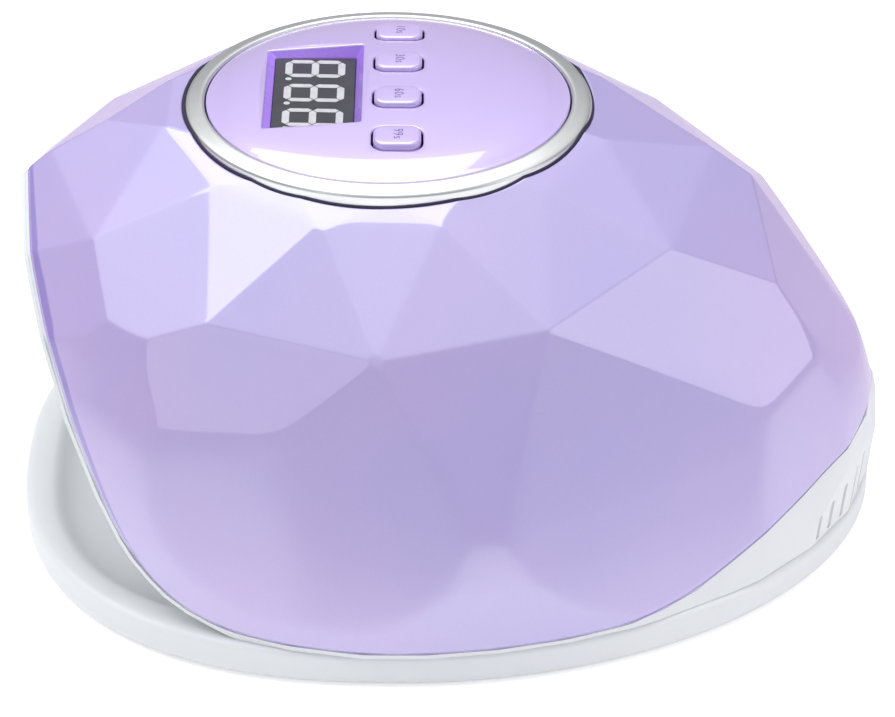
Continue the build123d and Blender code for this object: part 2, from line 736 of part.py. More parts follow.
def switch_stem(x):
    with BuildPart() as stem:
        with BuildSketch(Plane.XY.offset(STEM_Z0)):
            with Locations((x, BUTTON_Y)):
                Circle(1.75)
        extrude(amount=STEM_Z1 - STEM_Z0)
        chamfer(stem.edges().group_by(Axis.Z)[-1], 0.2)
    return stem.part


def switch_bodies():
    places = [(x, BUTTON_Y) for x in BUTTON_X.values()]
    with BuildPart() as bodies:
        with BuildSketch(Plane.XY.offset(PCB_Z1)):
            with Locations(*places):
                Rectangle(6, 6)
        extrude(amount=3.5)
        with BuildSketch(Plane.XY.offset(PCB_Z1 + 1.5)):
            with Locations(*places):
                Circle(1.81)
        extrude(amount=3, mode=Mode.SUBTRACT)
    return bodies.part


for seconds, button_x in BUTTON_X.items():
    save(button(button_x), f"button_{seconds}")
    save(switch_stem(button_x), f"switch_stem_{seconds}")
save(switch_bodies(), "switch_bodies")

# ---------------------------------------------------------------- control board and display
DISPLAY_W, DISPLAY_D, DISPLAY_H = 37.6, 19.0, 8.0
# Three seven-segment digits that lean to the right, with a point after each.
DIGIT_PITCH = 12.65
DIGIT_W, DIGIT_H = 9.0, 14.2
DIGIT_SHIFT = -0.6      # digit centre from its place on the pitch
SEGMENT_W = 1.7
SEGMENT_GAP = 0.18
SEGMENT_T = 0.08        # height of the segments above the display face
LEAN = math.radians(2.5)


def control_board():
    with BuildPart() as board:
        with BuildSketch(Plane.XY.offset(PCB_Z0)):
            with Locations((0, RING_Y)):
                Circle(PCB_R)
            with Locations(*PCB_SCREWS):
                Circle(BOARD_HOLE_R, mode=Mode.SUBTRACT)
        extrude(amount=PCB_Z1 - PCB_Z0)
    return board.part


def board_chips():
    """Flat chips, round cans and taller blocks on the underside of the control board."""
    chip_h, can_h, block_h = 1.6, 5.0, 4.0
    with BuildPart() as chips:
        with BuildSketch(Plane.XY.offset(PCB_Z0 - chip_h)):
            with Locations((0, RING_Y + 6)):
                Rectangle(10, 5)
            with Locations((-12, RING_Y - 4)):
                Rectangle(6.5, 6.5)
        extrude(amount=chip_h)
        with BuildSketch(Plane.XY.offset(PCB_Z0 - can_h)):
            with Locations((12, RING_Y - 6), (12, RING_Y + 4)):
                Circle(3.0)
        extrude(amount=can_h)
        with BuildSketch(Plane.XY.offset(PCB_Z0 - block_h)):
            with Locations((-10, RING_Y + 12), (0, RING_Y - 16)):
                Rectangle(7.5, 4.5)
        extrude(amount=block_h)
    return chips.part


def display_module():
    with BuildPart() as module:
        with BuildSketch(Plane.XY.offset(DISPLAY_Z - DISPLAY_H)):
            with Locations((0, WINDOW_Y)):
                Rectangle(DISPLAY_W, DISPLAY_D)
        extrude(amount=DISPLAY_H)
    return module.part


def segment(start, end, across):
    """Pointed bar as (along, across) points."""
    half = SEGMENT_W / 2
    start, end = start + SEGMENT_GAP, end - SEGMENT_GAP
    return [(start, across), (start + half, across + half), (end - half, across + half),
            (end, across), (end - half, across - half), (start + half, across - half)]


def digit_segments(centre_x):
    half_w, half_h = (DIGIT_W - SEGMENT_W) / 2, (DIGIT_H - SEGMENT_W) / 2
    bars = [segment(-half_w, half_w, y) for y in (-half_h, 0, half_h)]
    for x in (-half_w, half_w):
        for y0, y1 in ((-half_h, 0), (0, half_h)):
            bars.append([(across, along) for along, across in segment(y0, y1, x)])
    return [[(centre_x + x + y * math.tan(LEAN), WINDOW_Y + y) for x, y in bar] for bar in bars]


def display_segments():
    with BuildPart() as segments:
        for x in (-DIGIT_PITCH, 0.0, DIGIT_PITCH):
            for outline in digit_segments(x + DIGIT_SHIFT):
                with BuildSketch(Plane.XY.offset(DISPLAY_Z)):
                    with BuildLine():
                        Polyline(*outline, outline[0])
                    make_face()
                extrude(amount=SEGMENT_T)
            with BuildSketch(Plane.XY.offset(DISPLAY_Z)):
                with Locations((x + 4.65, WINDOW_Y - 6.2)):
                    Circle(0.75)
            extrude(amount=SEGMENT_T)
    return segments.part


save(control_board(), "control_board")
save(board_chips(), "board_chips")
save(display_module(), "display_module")
save(display_segments(), "display_segments")


# ---------------------------------------------------------------- light boards and sensors
def lens_mid(radius, height):
    """Middle point of a spherical lens profile that bulges down from z = 0."""
    sphere_r = (radius * radius + height * height) / (2 * height)
    centre = sphere_r - height
    a = (math.atan2(-centre, radius) - math.pi / 2) / 2
    return (sphere_r * math.cos(a), centre + sphere_r * math.sin(a))


def lensed_body(lens_r, lens_h, flange_r, flange_z, back_z):
    """Round body with a lens into the cavity (local -z) and a flange at the back."""
    with BuildPart() as body:
        with BuildSketch(Plane.XZ):
            with BuildLine():
                Polyline((0, back_z), (flange_r, back_z), (flange_r, flange_z),
                         (lens_r, flange_z), (lens_r, 0.0))
                ThreePointArc((lens_r, 0.0), lens_mid(lens_r, lens_h), (0, -lens_h))
                Line((0, -lens_h), (0, back_z))
            make_face()
        revolve(axis=Axis.Z)
    return body.part


def light_board_screw():
    """Screw along local z, its head on the back of the board."""
    shank_z, head_h = 1.2, 1.4
    with BuildPart() as screw:
        with BuildSketch(Plane.XY.offset(shank_z)):
            Circle(1.05)
        extrude(amount=BOARD_BACK - shank_z)
        with BuildSketch(Plane.XY.offset(BOARD_BACK)):
            Circle(2.1)
        extrude(amount=head_h)
        fillet(screw.edges().group_by(Axis.Z)[-1], 0.5)
        # cross recess
        with BuildSketch(Plane.XY.offset(BOARD_BACK + head_h - 0.6)):
            Rectangle(2.2, 0.5)
            Rectangle(0.5, 2.2)
        extrude(amount=1, mode=Mode.SUBTRACT)
    return screw.part


def on_plane(plane, x, y):
    return plane.location * Location((x, y, 0))


def light_board(key):
    layout = BOARDS[key]
    with BuildPart() as board:
        with BuildSketch(layout.plane.offset(BOARD_FRONT)):
            with Locations(layout.centre):
                RectangleRounded(*layout.size, 3)
            with Locations(*layout.screws):
                Circle(BOARD_HOLE_R, mode=Mode.SUBTRACT)
            if key == "top":
                with Locations(*IR_POSITIONS.values()):
                    Circle(0.9, mode=Mode.SUBTRACT)
        extrude(amount=BOARD_T)
    return board.part


def light_beads(layout):
    bead = lensed_body(lens_r=2.5, lens_h=1.8, flange_r=3.5, flange_z=LINER_T + 0.35,
                       back_z=BOARD_FRONT)
    with BuildPart() as beads:
        for x, y in layout.beads:
            add(bead.moved(on_plane(layout.plane, x, y)))
    return beads.part


def light_board_screws():
    screw = light_board_screw()
    with BuildPart() as screws:
        for layout in BOARDS.values():
            for x, y in layout.screws:
                add(screw.moved(on_plane(layout.plane, x, y)))
    return screws.part


for board_key, board_layout in BOARDS.items():
    save(light_board(board_key), f"light_board_{board_key}")
    save(light_beads(board_layout), f"light_beads_{board_key}")
save(light_board_screws(), "light_board_screws")

# hand sensor pair in the ceiling near the opening
for sensor_name, (sensor_x, sensor_y) in IR_POSITIONS.items():
    sensor = lensed_body(lens_r=1.5, lens_h=1.5, flange_r=2.1, flange_z=LINER_T + 0.3,
                         back_z=BOARD_FRONT - 0.05)
    save(sensor.moved(on_plane(CEILING, sensor_x, sensor_y)), sensor_name)


# ---------------------------------------------------------------- screws
def pan_screw(head_r, head_h, shank_r, length):
    """Pan-head screw, head at the bottom, shank pointing up, origin under the head seat."""
    with BuildPart() as screw:
        with BuildSketch(Plane.XY.offset(-head_h)):
            Circle(head_r)
        extrude(amount=head_h)
        fillet(screw.edges().group_by(Axis.Z)[0], head_h * 0.35)
        # cross recess
        with BuildSketch(Plane.XY.offset(-head_h)):
            Rectangle(head_r * 1.1, head_r * 0.24)
            Rectangle(head_r * 0.24, head_r * 1.1)
        extrude(amount=head_h * 0.45, mode=Mode.SUBTRACT)
        with BuildSketch(Plane.XY):
            Circle(shank_r)
        extrude(amount=length)
        chamfer(screw.edges().group_by(Axis.Z)[-1], shank_r * 0.5)
    return screw.part


def screw_set(places, seat_z, **sizes):
    with BuildPart() as screws:
        for x, y in places:
            add(pan_screw(**sizes).moved(Location((x, y, seat_z))))
    return screws.part


save(screw_set(SHELL_POSTS, LINER_BOTTOM + WELL_DEPTH,
               head_r=2.9, head_h=1.9, shank_r=1.45, length=11.5), "shell_screws")
save(screw_set(PANEL_SCREWS, LEDGE_Z0,
               head_r=2.4, head_h=1.5, shank_r=1.05, length=5.2), "panel_screws")
save(screw_set(PCB_SCREWS, PCB_Z0,
               head_r=2.1, head_h=1.4, shank_r=1.05, length=5.8), "control_board_screws")


# ---------------------------------------------------------------- power inlet
def power_inlet():
    """Square body, round nose, bore and centre pin, each built forwards from its rear face."""
    with BuildPart() as inlet:
        with BuildSketch(Plane.XZ.offset(-98.2)):
            with Locations((0, JACK_Z)):
                Rectangle(11, 11)
        extrude(amount=12.0)
        with BuildSketch(Plane.XZ.offset(-103.0)):
            with Locations((0, JACK_Z)):
                Circle(4.85)
        extrude(amount=5.0)
        with BuildSketch(Plane.XZ.offset(-103.1)):
            with Locations((0, JACK_Z)):
                Circle(3.15)
        extrude(amount=9.6, mode=Mode.SUBTRACT)
        with BuildSketch(Plane.XZ.offset(-102.0)):
            with Locations((0, JACK_Z)):
                Circle(1.05)
        extrude(amount=9.0)
    return inlet.part


save(power_inlet(), "power_inlet")

# ---------------------------------------------------------------- wiring
POWER_WIRE_R, LIGHT_WIRE_R = 0.85, 0.7


def wire(points, radius, start_dir, end_dir):
    with BuildPart() as swept:
        with BuildLine() as path:
            Spline(*points, tangents=(start_dir, end_dir))
        with BuildSketch(Plane(origin=path.line @ 0, z_dir=path.line % 0)):
            Circle(radius)
        sweep()
    return swept.part


def power_wires():
    """Pair from the power inlet up to the control board."""
    with BuildPart() as wires:
        for x in (-2.2, 2.2):
            points = [(x, 85.6, JACK_Z + 1), (x, 78.5, 32), (x, 75.0, 55), (x, 58, 79),
                      (x, 25, 91.5), (x, 12, 96.2)]
            add(wire(points, POWER_WIRE_R, (0, -1, 0.2), (0, -0.2, 1)))
    return wires.part


def light_wires():
    """Top board to control board, and top board to the side and rear boards."""
    with BuildPart() as wires:
        for side in (-1, 1):
            to_control = [(side * 6, -14, 67.5), (side * 8, -12, 80), (side * 6, -5, 96.0)]
            add(wire(to_control, LIGHT_WIRE_R, (0, 0, 1), (0, 0, 1)))
            to_side = [(side * 27, 28, 67.5), (side * 32, 28, 72.5), (side * 46, 24, 65),
                       (side * 56, 18, 54), (side * 54.2, 14, 49.9)]
            add(wire(to_side, LIGHT_WIRE_R, (0, 0, 1), (-side * SLOPE_NX, 0, -SLOPE_NZ)))
        from_rear = [(24, 69.6, 38), (24, 74, 50), (22, 60, 70), (20, 30, 70), (20, 24, 67.5)]
        add(wire(from_rear, LIGHT_WIRE_R, (0, 1, 0.4), (0, 0, -1)))
    return wires.part


save(power_wires(), "power_wires")
save(light_wires(), "light_wires")
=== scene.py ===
"""Nail-curing lamp: a faceted dome with a domed control disc on top, standing on a dished tray.

Lengths are in millimetres unless noted and become metres in the scene. +Z is up and the hand
opening faces -Y. The camera looks along -X, so its left is -Y.
"""
import bmesh
import bpy
import json
import math
import numpy as np
from mathutils import Matrix, Vector
from mathutils.geometry import delaunay_2d_cdt


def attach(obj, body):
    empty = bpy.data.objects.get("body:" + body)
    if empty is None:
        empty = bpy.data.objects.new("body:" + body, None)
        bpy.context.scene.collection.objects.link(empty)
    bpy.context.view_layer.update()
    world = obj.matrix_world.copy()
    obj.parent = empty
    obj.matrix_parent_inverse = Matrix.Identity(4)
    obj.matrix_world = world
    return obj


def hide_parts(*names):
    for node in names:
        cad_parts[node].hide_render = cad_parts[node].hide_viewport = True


MM = 0.001
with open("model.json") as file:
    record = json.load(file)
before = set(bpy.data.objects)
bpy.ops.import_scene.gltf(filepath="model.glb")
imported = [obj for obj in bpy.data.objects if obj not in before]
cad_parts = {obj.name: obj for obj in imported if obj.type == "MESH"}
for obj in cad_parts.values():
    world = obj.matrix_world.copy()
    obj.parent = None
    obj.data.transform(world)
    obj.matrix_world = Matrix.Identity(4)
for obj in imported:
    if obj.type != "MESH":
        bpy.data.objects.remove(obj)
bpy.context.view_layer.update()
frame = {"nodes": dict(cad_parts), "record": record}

MATERIALS = {}
RING_Y = -13.9          # centre of the ring, the control panel and the shell's top hole

# ------------------------------------------------------------------ mesh helpers


def make_mesh(name, verts, faces, body, slot, replaces=None, material=None, sharp=None):
    """A smooth-shaded object from points and a list of face arrays; material defaults to the
    slot's, and edges steeper than sharp degrees stay sharp."""
    mesh = bpy.data.meshes.new(name)
    points = np.asarray(verts, float).reshape(-1, 3) * MM
    mesh.vertices.add(len(points))
    mesh.vertices.foreach_set("co", points.astype(np.float32).ravel())
    sizes = np.concatenate([np.full(len(f), f.shape[1]) for f in faces])
    corners = np.concatenate([f.ravel() for f in faces])
    starts = np.concatenate([[0], np.cumsum(sizes)[:-1]])
    mesh.loops.add(len(corners))
    mesh.loops.foreach_set("vertex_index", corners.astype(np.int32))
    mesh.polygons.add(len(sizes))
    mesh.polygons.foreach_set("loop_start", starts.astype(np.int32))
    mesh.update(calc_edges=True)
    mesh.polygons.foreach_set("use_smooth", np.ones(len(sizes), bool))
    if sharp is not None:
        mesh.set_sharp_from_angle(angle=math.radians(sharp))
    mesh.validate()
    mesh.update()
    obj = bpy.data.objects.new(name, mesh)
    bpy.context.scene.collection.objects.link(obj)
    mesh.materials.append(MATERIALS[material or slot])
    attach(obj, body)
    if replaces:
        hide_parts(replaces)
    return obj


def strip(n_rows, n_cols, first=0, flip=False):
    """Quads joining n_rows closed loops of n_cols points each, from vertex number first."""
    row = np.arange(n_rows - 1)[:, None]
    col = np.arange(n_cols)[None, :]
    next_col = (col + 1) % n_cols
    a, b = row * n_cols + col, row * n_cols + next_col
    d, e = (row + 1) * n_cols + col, (row + 1) * n_cols + next_col
    quads = np.stack([a, d, e, b] if flip else [a, b, e, d], -1)
    return quads.reshape(-1, 4) + first


def make_loops(name, loops, *args, **options):
    """A mesh of closed loops, each joined to the next."""
    return make_mesh(name, loops, [strip(len(loops), len(loops[0]))], *args, **options)


def at_height(outline, z):
    """3-D points of a flat outline; z is one height or one for each point."""
    return np.column_stack([outline, np.full(len(outline), z)])


def circle(radius, z, count):
    """A level or wavy circle about the ring's axis."""
    a = np.linspace(0, 2 * math.pi, count, endpoint=False)
    return at_height(np.stack([radius * np.cos(a), RING_Y + radius * np.sin(a)], -1), z)


def soften(points, radius, steps):
    """Rounds each corner of a closed 2-D outline with an arc-like curve of about that radius."""
    points = [np.array(p, float) for p in points]
    out = []
    for i, p in enumerate(points):
        a, b = points[i - 1], points[(i + 1) % len(points)]
        to_a, to_b = np.linalg.norm(a - p), np.linalg.norm(b - p)
        cut = min(radius, to_a * 0.45, to_b * 0.45)
        start, end = p + (a - p) / to_a * cut, p + (b - p) / to_b * cut
        for t in np.linspace(0, 1, steps):
            out.append((1 - t) ** 2 * start + 2 * t * (1 - t) * p + t * t * end)
    return out


def rounded_rect(width, depth, radius, corner_points, x=0.0, y=0.0):
    """Points round a rounded rectangle, anticlockwise."""
    out = []
    for k, (sx, sy) in enumerate([(1, 1), (-1, 1), (-1, -1), (1, -1)]):
        for t in np.linspace(0, math.pi / 2, corner_points):
            a = t + k * math.pi / 2
            out.append((x + sx * (width / 2 - radius) + radius * math.cos(a),
                        y + sy * (depth / 2 - radius) + radius * math.sin(a)))
    return np.array(out)


def unit(v):
    return v / np.linalg.norm(v, axis=-1, keepdims=True)


def smoothstep(t):
    return t * t * (3 - 2 * t)


# ------------------------------------------------------------------ material kinds
# Scales and bump distances in materials are per metre and in metres.


class Nodes:
    """Small helper to write a material's node tree."""

    def __init__(self, name):
        self.mat = MATERIALS[name] = bpy.data.materials.new(name)
        self.mat.use_nodes = True
        self.tree = self.mat.node_tree
        self.tree.nodes.clear()
        self.out = self.tree.nodes.new("ShaderNodeOutputMaterial")
        self.place = self.tree.nodes.new("ShaderNodeTexCoord").outputs["Object"]

    def add(self, kind, inputs=None, **props):
        node = self.tree.nodes.new(kind)
        for key, value in props.items():
            setattr(node, key, value)
        for key, value in (inputs or {}).items():
            self.put(node.inputs[key], value)
        return node

    def put(self, socket, value):
        """Links a socket, or sets its value; a colour of three parts gets alpha 1."""
        if isinstance(value, bpy.types.NodeSocket):
            self.tree.links.new(value, socket)
        else:
            if hasattr(value, "__len__") and len(value) == 3 and socket.type == "RGBA":
                value = (*value, 1.0)
            socket.default_value = value

    def noise(self, scale, detail=3.0, rough=0.5, stretch=(1, 1, 1), seed=(0, 0, 0)):
        place = self.add("ShaderNodeMapping",
                         {"Vector": self.place, "Location": seed, "Scale": stretch}).outputs[0]
        return self.add("ShaderNodeTexNoise", {"Vector": place, "Scale": scale, "Detail": detail,
                                               "Roughness": rough}).outputs[0]

    def cells(self, scale, feature="F1", out="Distance"):
        place = self.add("ShaderNodeMapping",
                         {"Vector": self.place, "Scale": (1, 1, 1)}).outputs[0]
        return self.add("ShaderNodeTexVoronoi", {"Vector": place, "Scale": scale},
                        feature=feature).outputs[out]

    def ramp(self, value, low, high, start=0.0, end=1.0):
        """Maps low..high to start..end, clamped."""
        return self.add("ShaderNodeMapRange",
                        {0: value, 1: low, 2: high, 3: start, 4: end}).outputs[0]

    def math(self, operation, a, b):
        return self.add("ShaderNodeMath", {0: a, 1: b}, operation=operation).outputs[0]

    def facing(self, blend):
        return self.add("ShaderNodeLayerWeight", {"Blend": blend}).outputs["Facing"]

    def mix(self, share, a, b):
        """Colour a, going to b as share goes to 1."""
        node = self.add("ShaderNodeMix", data_type="RGBA")
        self.put(node.inputs["Factor"], share)
        self.put(node.inputs["A"], a)
        self.put(node.inputs["B"], b)
        return node.outputs["Result"]

    def bump(self, height, strength, distance):
        return self.add("ShaderNodeBump", {"Height": height, "Strength": strength,
                                           "Distance": distance}).outputs[0]

    def surface(self, **inputs):
        shader = self.add("ShaderNodeBsdfPrincipled")
        for key, value in inputs.items():
            self.put(shader.inputs[key.replace("_", " ")], value)
        self.tree.links.new(shader.outputs[0], self.out.inputs[0])


def pearl(name, face, edge, warm, cool, rough=0.3, metal=0.05, flake=0.12, band=None):
    """Pearlescent lacquer: colour drifts slowly between a warm and a cool lavender, turns to the
    edge colour at grazing angles, and carries fine flakes under a clear coat. A band colour
    lays painted shade, darker violet, on the outside beside the front lip."""
    m = Nodes(name)
    drift = m.noise(14.0, detail=2.0, rough=0.45)
    cloud = m.noise(34.0, seed=(3.1, 0.7, 1.9))
    tint = m.mix(m.ramp(drift, low=0.36, high=0.66), cool, warm)
    base = m.mix(m.ramp(cloud, low=0.3, high=0.7, start=0.25, end=0.75), face, tint)
    facing = m.facing(blend=0.38)
    base = m.mix(m.ramp(facing, low=0.35, high=0.98, end=0.7), base, edge)
    # painted shade: the band colour darkens the outside beside the front lip
    if band:
        beside = m.add("ShaderNodeAttribute", attribute_name="lip_shade_band").outputs["Fac"]
        base = m.mix(m.ramp(beside, low=0.0, high=1.0, end=0.85), base, band)
    spark = m.cells(5200.0, out="Color")
    spark = m.add("ShaderNodeSeparateColor", {0: spark}).outputs[0]
    base = m.mix(m.ramp(spark, low=0.55, high=1.0, end=0.10 * flake), base, (1.0, 0.97, 1.0))
    fine = m.noise(2600.0, detail=2.0, rough=0.6)
    m.surface(
        Normal=m.bump(fine, strength=0.035 * flake, distance=0.0002),
        Base_Color=base, Metallic=metal,
        Roughness=m.ramp(spark, low=0.0, high=1.0,
                         start=rough - 0.04 * flake, end=rough + 0.06 * flake),
        Coat_Weight=1.0, Coat_Roughness=0.03, Coat_IOR=1.95, IOR=2.1,
        Specular_Tint=(0.77, 0.97, 0.97))


def moulded(name, colour, tint, rough=0.3, grain=1500.0, depth=0.05, coat=0.0, drift=26.0,
            uneven=0.07):
    """Moulded plastic: faint colour drift, a fine spark-eroded grain and uneven gloss."""
    m = Nodes(name)
    drifting = m.noise(drift, detail=4.0, rough=0.6)
    base = m.mix(m.ramp(drifting, low=0.3, high=0.7), colour, tint)
    texture = m.noise(grain, detail=2.0, rough=0.6)
    wear = m.noise(70.0, seed=(1.7, 4.1, 0.3))
    gloss = m.ramp(wear, low=0.3, high=0.75, start=rough - uneven, end=rough + uneven)
    m.surface(Base_Color=base, Roughness=gloss,
              Normal=m.bump(texture, strength=depth, distance=0.0002),
              Coat_Weight=coat, Coat_Roughness=0.1, Subsurface_Radius=(0.004, 0.004, 0.004))


def plated(name, colour, tint, rough, stretch=(1, 1, 1), grain=900.0, depth=0.03, spread=0.3):
    """Plated or brushed metal: fine streaks in gloss and a slight cloudiness."""
    m = Nodes(name)
    streak = m.noise(grain, rough=0.6, stretch=stretch)
    cloud = m.noise(60.0, seed=(2.2, 0.4, 5.0))
    base = m.mix(m.ramp(cloud, low=0.3, high=0.7), colour, tint)
    gloss = m.ramp(streak, low=0.25, high=0.75,
                   start=rough * (1 - spread), end=rough * (1 + spread))
    m.surface(Base_Color=base, Metallic=1.0, Roughness=gloss,
              Normal=m.bump(streak, strength=depth, distance=0.0001))


def board(name, mask, pad, scale=260.0):
    """Printed board: solder mask over faint tracks, with bright pads."""
    m = Nodes(name)
    tracks = m.cells(scale, feature="DISTANCE_TO_EDGE")
    line = m.ramp(tracks, low=0.02, high=0.05, start=1.0, end=0.0)
    dots = m.cells(scale * 1.3)
    dot = m.ramp(dots, low=0.10, high=0.13, start=1.0, end=0.0)
    darker = tuple(c * 0.82 for c in mask)
    lighter = tuple(min(1.0, c * 1.35 + 0.03) for c in mask)
    base = m.mix(m.ramp(m.noise(45.0), low=0.3, high=0.7), mask, darker)
    base = m.mix(m.math("MULTIPLY", line, 0.55), base, lighter)
    base = m.mix(dot, base, pad)
    m.surface(Base_Color=base, Roughness=m.ramp(dot, low=0, high=1, start=0.42, end=0.25),
              Metallic=m.math("MULTIPLY", dot, 0.8),
              Normal=m.bump(line, strength=0.15, distance=0.00005))


def clear_lens(name):
    """Clear dome over a yellow emitter: yellow seen in the middle, clear at the rim."""
    m = Nodes(name)
    facing = m.facing(blend=0.45)
    speck = m.noise(1800.0, detail=2.0)
    yellow = m.mix(m.ramp(speck, low=0.35, high=0.65), (0.86, 0.62, 0.10), (0.95, 0.78, 0.22))
    base = m.mix(m.ramp(facing, low=0.10, high=0.55), yellow, (0.86, 0.86, 0.84))
    m.surface(Base_Color=base, Roughness=m.ramp(speck, low=0.3, high=0.7, start=0.05, end=0.1),
              Coat_Weight=0.8, Coat_Roughness=0.03)


# ------------------------------------------------------------------ the lamp's materials
pearl("shell_pearl", face=(0.50, 0.40, 0.77), edge=(0.36, 0.25, 0.56), warm=(0.575, 0.41, 0.785),
      cool=(0.45, 0.39, 0.78), rough=0.38, metal=0.0, flake=0.5, band=(0.27, 0.18, 0.60))
# painted shade: a darker, duller violet for the shell's rounded lower edge and its end face
moulded("shell_lip_shade", (0.31, 0.20, 0.66), (0.36, 0.24, 0.71), rough=0.42, depth=0.004,
        uneven=0.03)
pearl("panel_pearl", face=(0.60, 0.435, 0.86), edge=(0.76, 0.63, 0.93), warm=(0.64, 0.44, 0.87),
      cool=(0.55, 0.43, 0.86))
pearl("button_pearl", face=(0.62, 0.45, 0.88), edge=(0.75, 0.61, 0.94), warm=(0.65, 0.47, 0.88),
      cool=(0.57, 0.45, 0.87))
moulded("well_violet", (0.36, 0.19, 0.80), (0.42, 0.24, 0.84), rough=0.28, depth=0.03, coat=0.4)
# painted shade: near-black violet for the walls of the button holes, for the shadow in the gap
# round each cap
moulded("button_gap_shade", (0.035, 0.012, 0.10), (0.05, 0.02, 0.13), rough=0.5, depth=0.03)
plated("ring_chrome", (0.94, 0.95, 0.94), (0.925, 0.94, 0.93), rough=0.33, grain=300.0,
       depth=0.0, spread=0.05)
for white in ("white_abs", "tray_white"):
    moulded(white, (0.82, 0.845, 0.855), (0.805, 0.83, 0.84), rough=0.34, depth=0.003,
            uneven=0.025)
moulded("foot_rubber", (0.42, 0.43, 0.44), (0.34, 0.35, 0.36), rough=0.72, grain=2600.0,
        depth=0.25)
plated("magnet_plate", (0.62, 0.62, 0.60), (0.52, 0.52, 0.51), rough=0.24)
moulded("display_black", (0.035, 0.034, 0.045), (0.05, 0.048, 0.06), rough=0.42, grain=3200.0,
        depth=0.12, drift=160.0)
moulded("display_segment", (0.60, 0.60, 0.62), (0.50, 0.50, 0.53), rough=0.5, grain=3000.0,
        depth=0.1, drift=500.0)
board("board_green", mask=(0.02, 0.16, 0.06), pad=(0.75, 0.60, 0.30))
board("board_white", mask=(0.82, 0.82, 0.80), pad=(0.72, 0.70, 0.66), scale=180.0)
moulded("chip_black", (0.02, 0.02, 0.022), (0.035, 0.035, 0.038), rough=0.55, grain=4000.0,
        depth=0.3)
moulded("switch_black", (0.03, 0.03, 0.034), (0.05, 0.05, 0.055), rough=0.45, grain=2500.0,
        depth=0.15)
moulded("ir_dark", (0.03, 0.015, 0.05), (0.06, 0.02, 0.09), rough=0.1, grain=900.0, depth=0.02,
        coat=0.6)
plated("screw_steel", (0.63, 0.64, 0.66), (0.50, 0.51, 0.54), rough=0.28, stretch=(1, 1, 6),
       grain=1400.0, depth=0.12)
moulded("jack_black", (0.018, 0.018, 0.02), (0.03, 0.03, 0.034), rough=0.4, grain=2200.0,
        depth=0.15)
moulded("wire_red", (0.45, 0.02, 0.015), (0.36, 0.015, 0.012), rough=0.35, grain=1800.0,
        depth=0.08)
moulded("wire_white", (0.75, 0.75, 0.72), (0.66, 0.66, 0.62), rough=0.38, grain=1800.0,
        depth=0.08)
# painted shadow: near-black for the band under the ring, standing in for the shaded gap between
# ring and shell
moulded("ring_gap_shadow", (0.012, 0.006, 0.035), (0.02, 0.01, 0.05), rough=0.55, grain=2200.0, depth=0.1)
moulded("ink_violet", (0.16, 0.10, 0.30), (0.20, 0.13, 0.36), rough=0.45)
clear_lens("bead_lens")

# ------------------------------------------------------------------ form of the shell
# The plan is two half superellipses, (reach in y, exponent), meeting at HEAD_Y.
HEAD_HALF_WIDTH = 92.56
HEAD_Y = -12.08
BACK_REACH, BACK_POWER = 115.99, 1.891
FRONT_REACH, FRONT_POWER = 107.87, 1.766
# The plan shrinks above WIDEST_Z by (1 - h^k)^(1/m), h being the share of the way up: (m, k).
WIDEST_Z, HEAD_TOP = 26.25, 108.68
SIDE_RISE, FRONT_RISE = (3.010, 1.364), (3.434, 2.003)
LOW_TAPER = 0.02        # share of the plan lost from WIDEST_Z down to the floor
TIP_SCALE = 0.02        # plan scale kept above HEAD_TOP
# The dome swells slightly between these heights, outwards and upwards.
SWELL_Z, SWELL_SPAN, SWELL_OUT, SWELL_UP = 58, 22, 0.010, 0.018
# The planes that cut the facets: normal x, y, z and distance from the origin.
# Those off the middle are mirrored to -X.
FACETS = np.array([
    (0, -.0858, .9963, 109.54), (.2556, -.2602, .9311, 117.24), (.5360, -.2830, .7954, 114.79),
    (.6263, -.0100, .7795, 109.99), (.5622, .2715, .7812, 106.44), (.3083, .3705, .8762, 108.65),
    (.3285, -.4125, .8497, 119.54), (.6019, -.3295, .7275, 112.69), (.6948, -.0124, .7191, 107.52),
    (.5824, .2848, .7614, 105.49), (.3488, .4347, .8303, 106.95), (0, .3746, .9272, 108.99),
    (0, -.3059, .9521, 119.21), (.5927, -.3556, .7227, 113.21), (.7331, -.2119, .6463, 107.91),
    (.7330, .1260, .6684, 104.25), (.5597, .3832, .7348, 104.11), (.2849, .5088, .8124, 106.78),
    (.2667, -.4902, .8298, 121.88), (.2955, -.6104, .7349, 124.43), (.5350, -.6464, .5440, 119.14),
    (.8703, -.2722, .4105, 100.85), (.9494, -.1540, .2739, 94.29), (.8795, .1780, .4413, 96.77),
    (.6900, .5657, .4516, 94.04), (.7961, .5185, .3119, 88.69), (.2971, .5807, .7580, 106.25),
    (.6949, .6668, .2692, 93.34), (.1457, .8221, .5504, 106.00), (.9280, -.2700, .2500, 95.8),
])
# The shell's lower edge seen from the side, front to back: y, z.
EDGE = np.array([
    (-130, 210), (-101.3, 92), (-100.3, 87.4), (-99.2, 82.8), (-97.4, 76.9), (-95.3, 71.2),
    (-92.7, 65), (-89.9, 58.2), (-87, 50.9), (-83.3, 43.5), (-79.4, 35.7), (-74.8, 27.6),
    (-71.6, 23.5), (-68, 19.7), (-64.1, 16.5), (-59.5, 13.9), (-54, 12), (-48, 10.9),
    (-40, 10.4), (-25, 10.25), (0, 10.2), (25, 10.2), (40, 10.4), (50, 11.2), (57.4, 12.6),
    (65.9, 15.9), (74.6, 19.6), (83.5, 23.2), (89.5, 26.2), (96.1, 28.9), (99.7, 30.2),
    (108, 32), (130, 36.8),
])


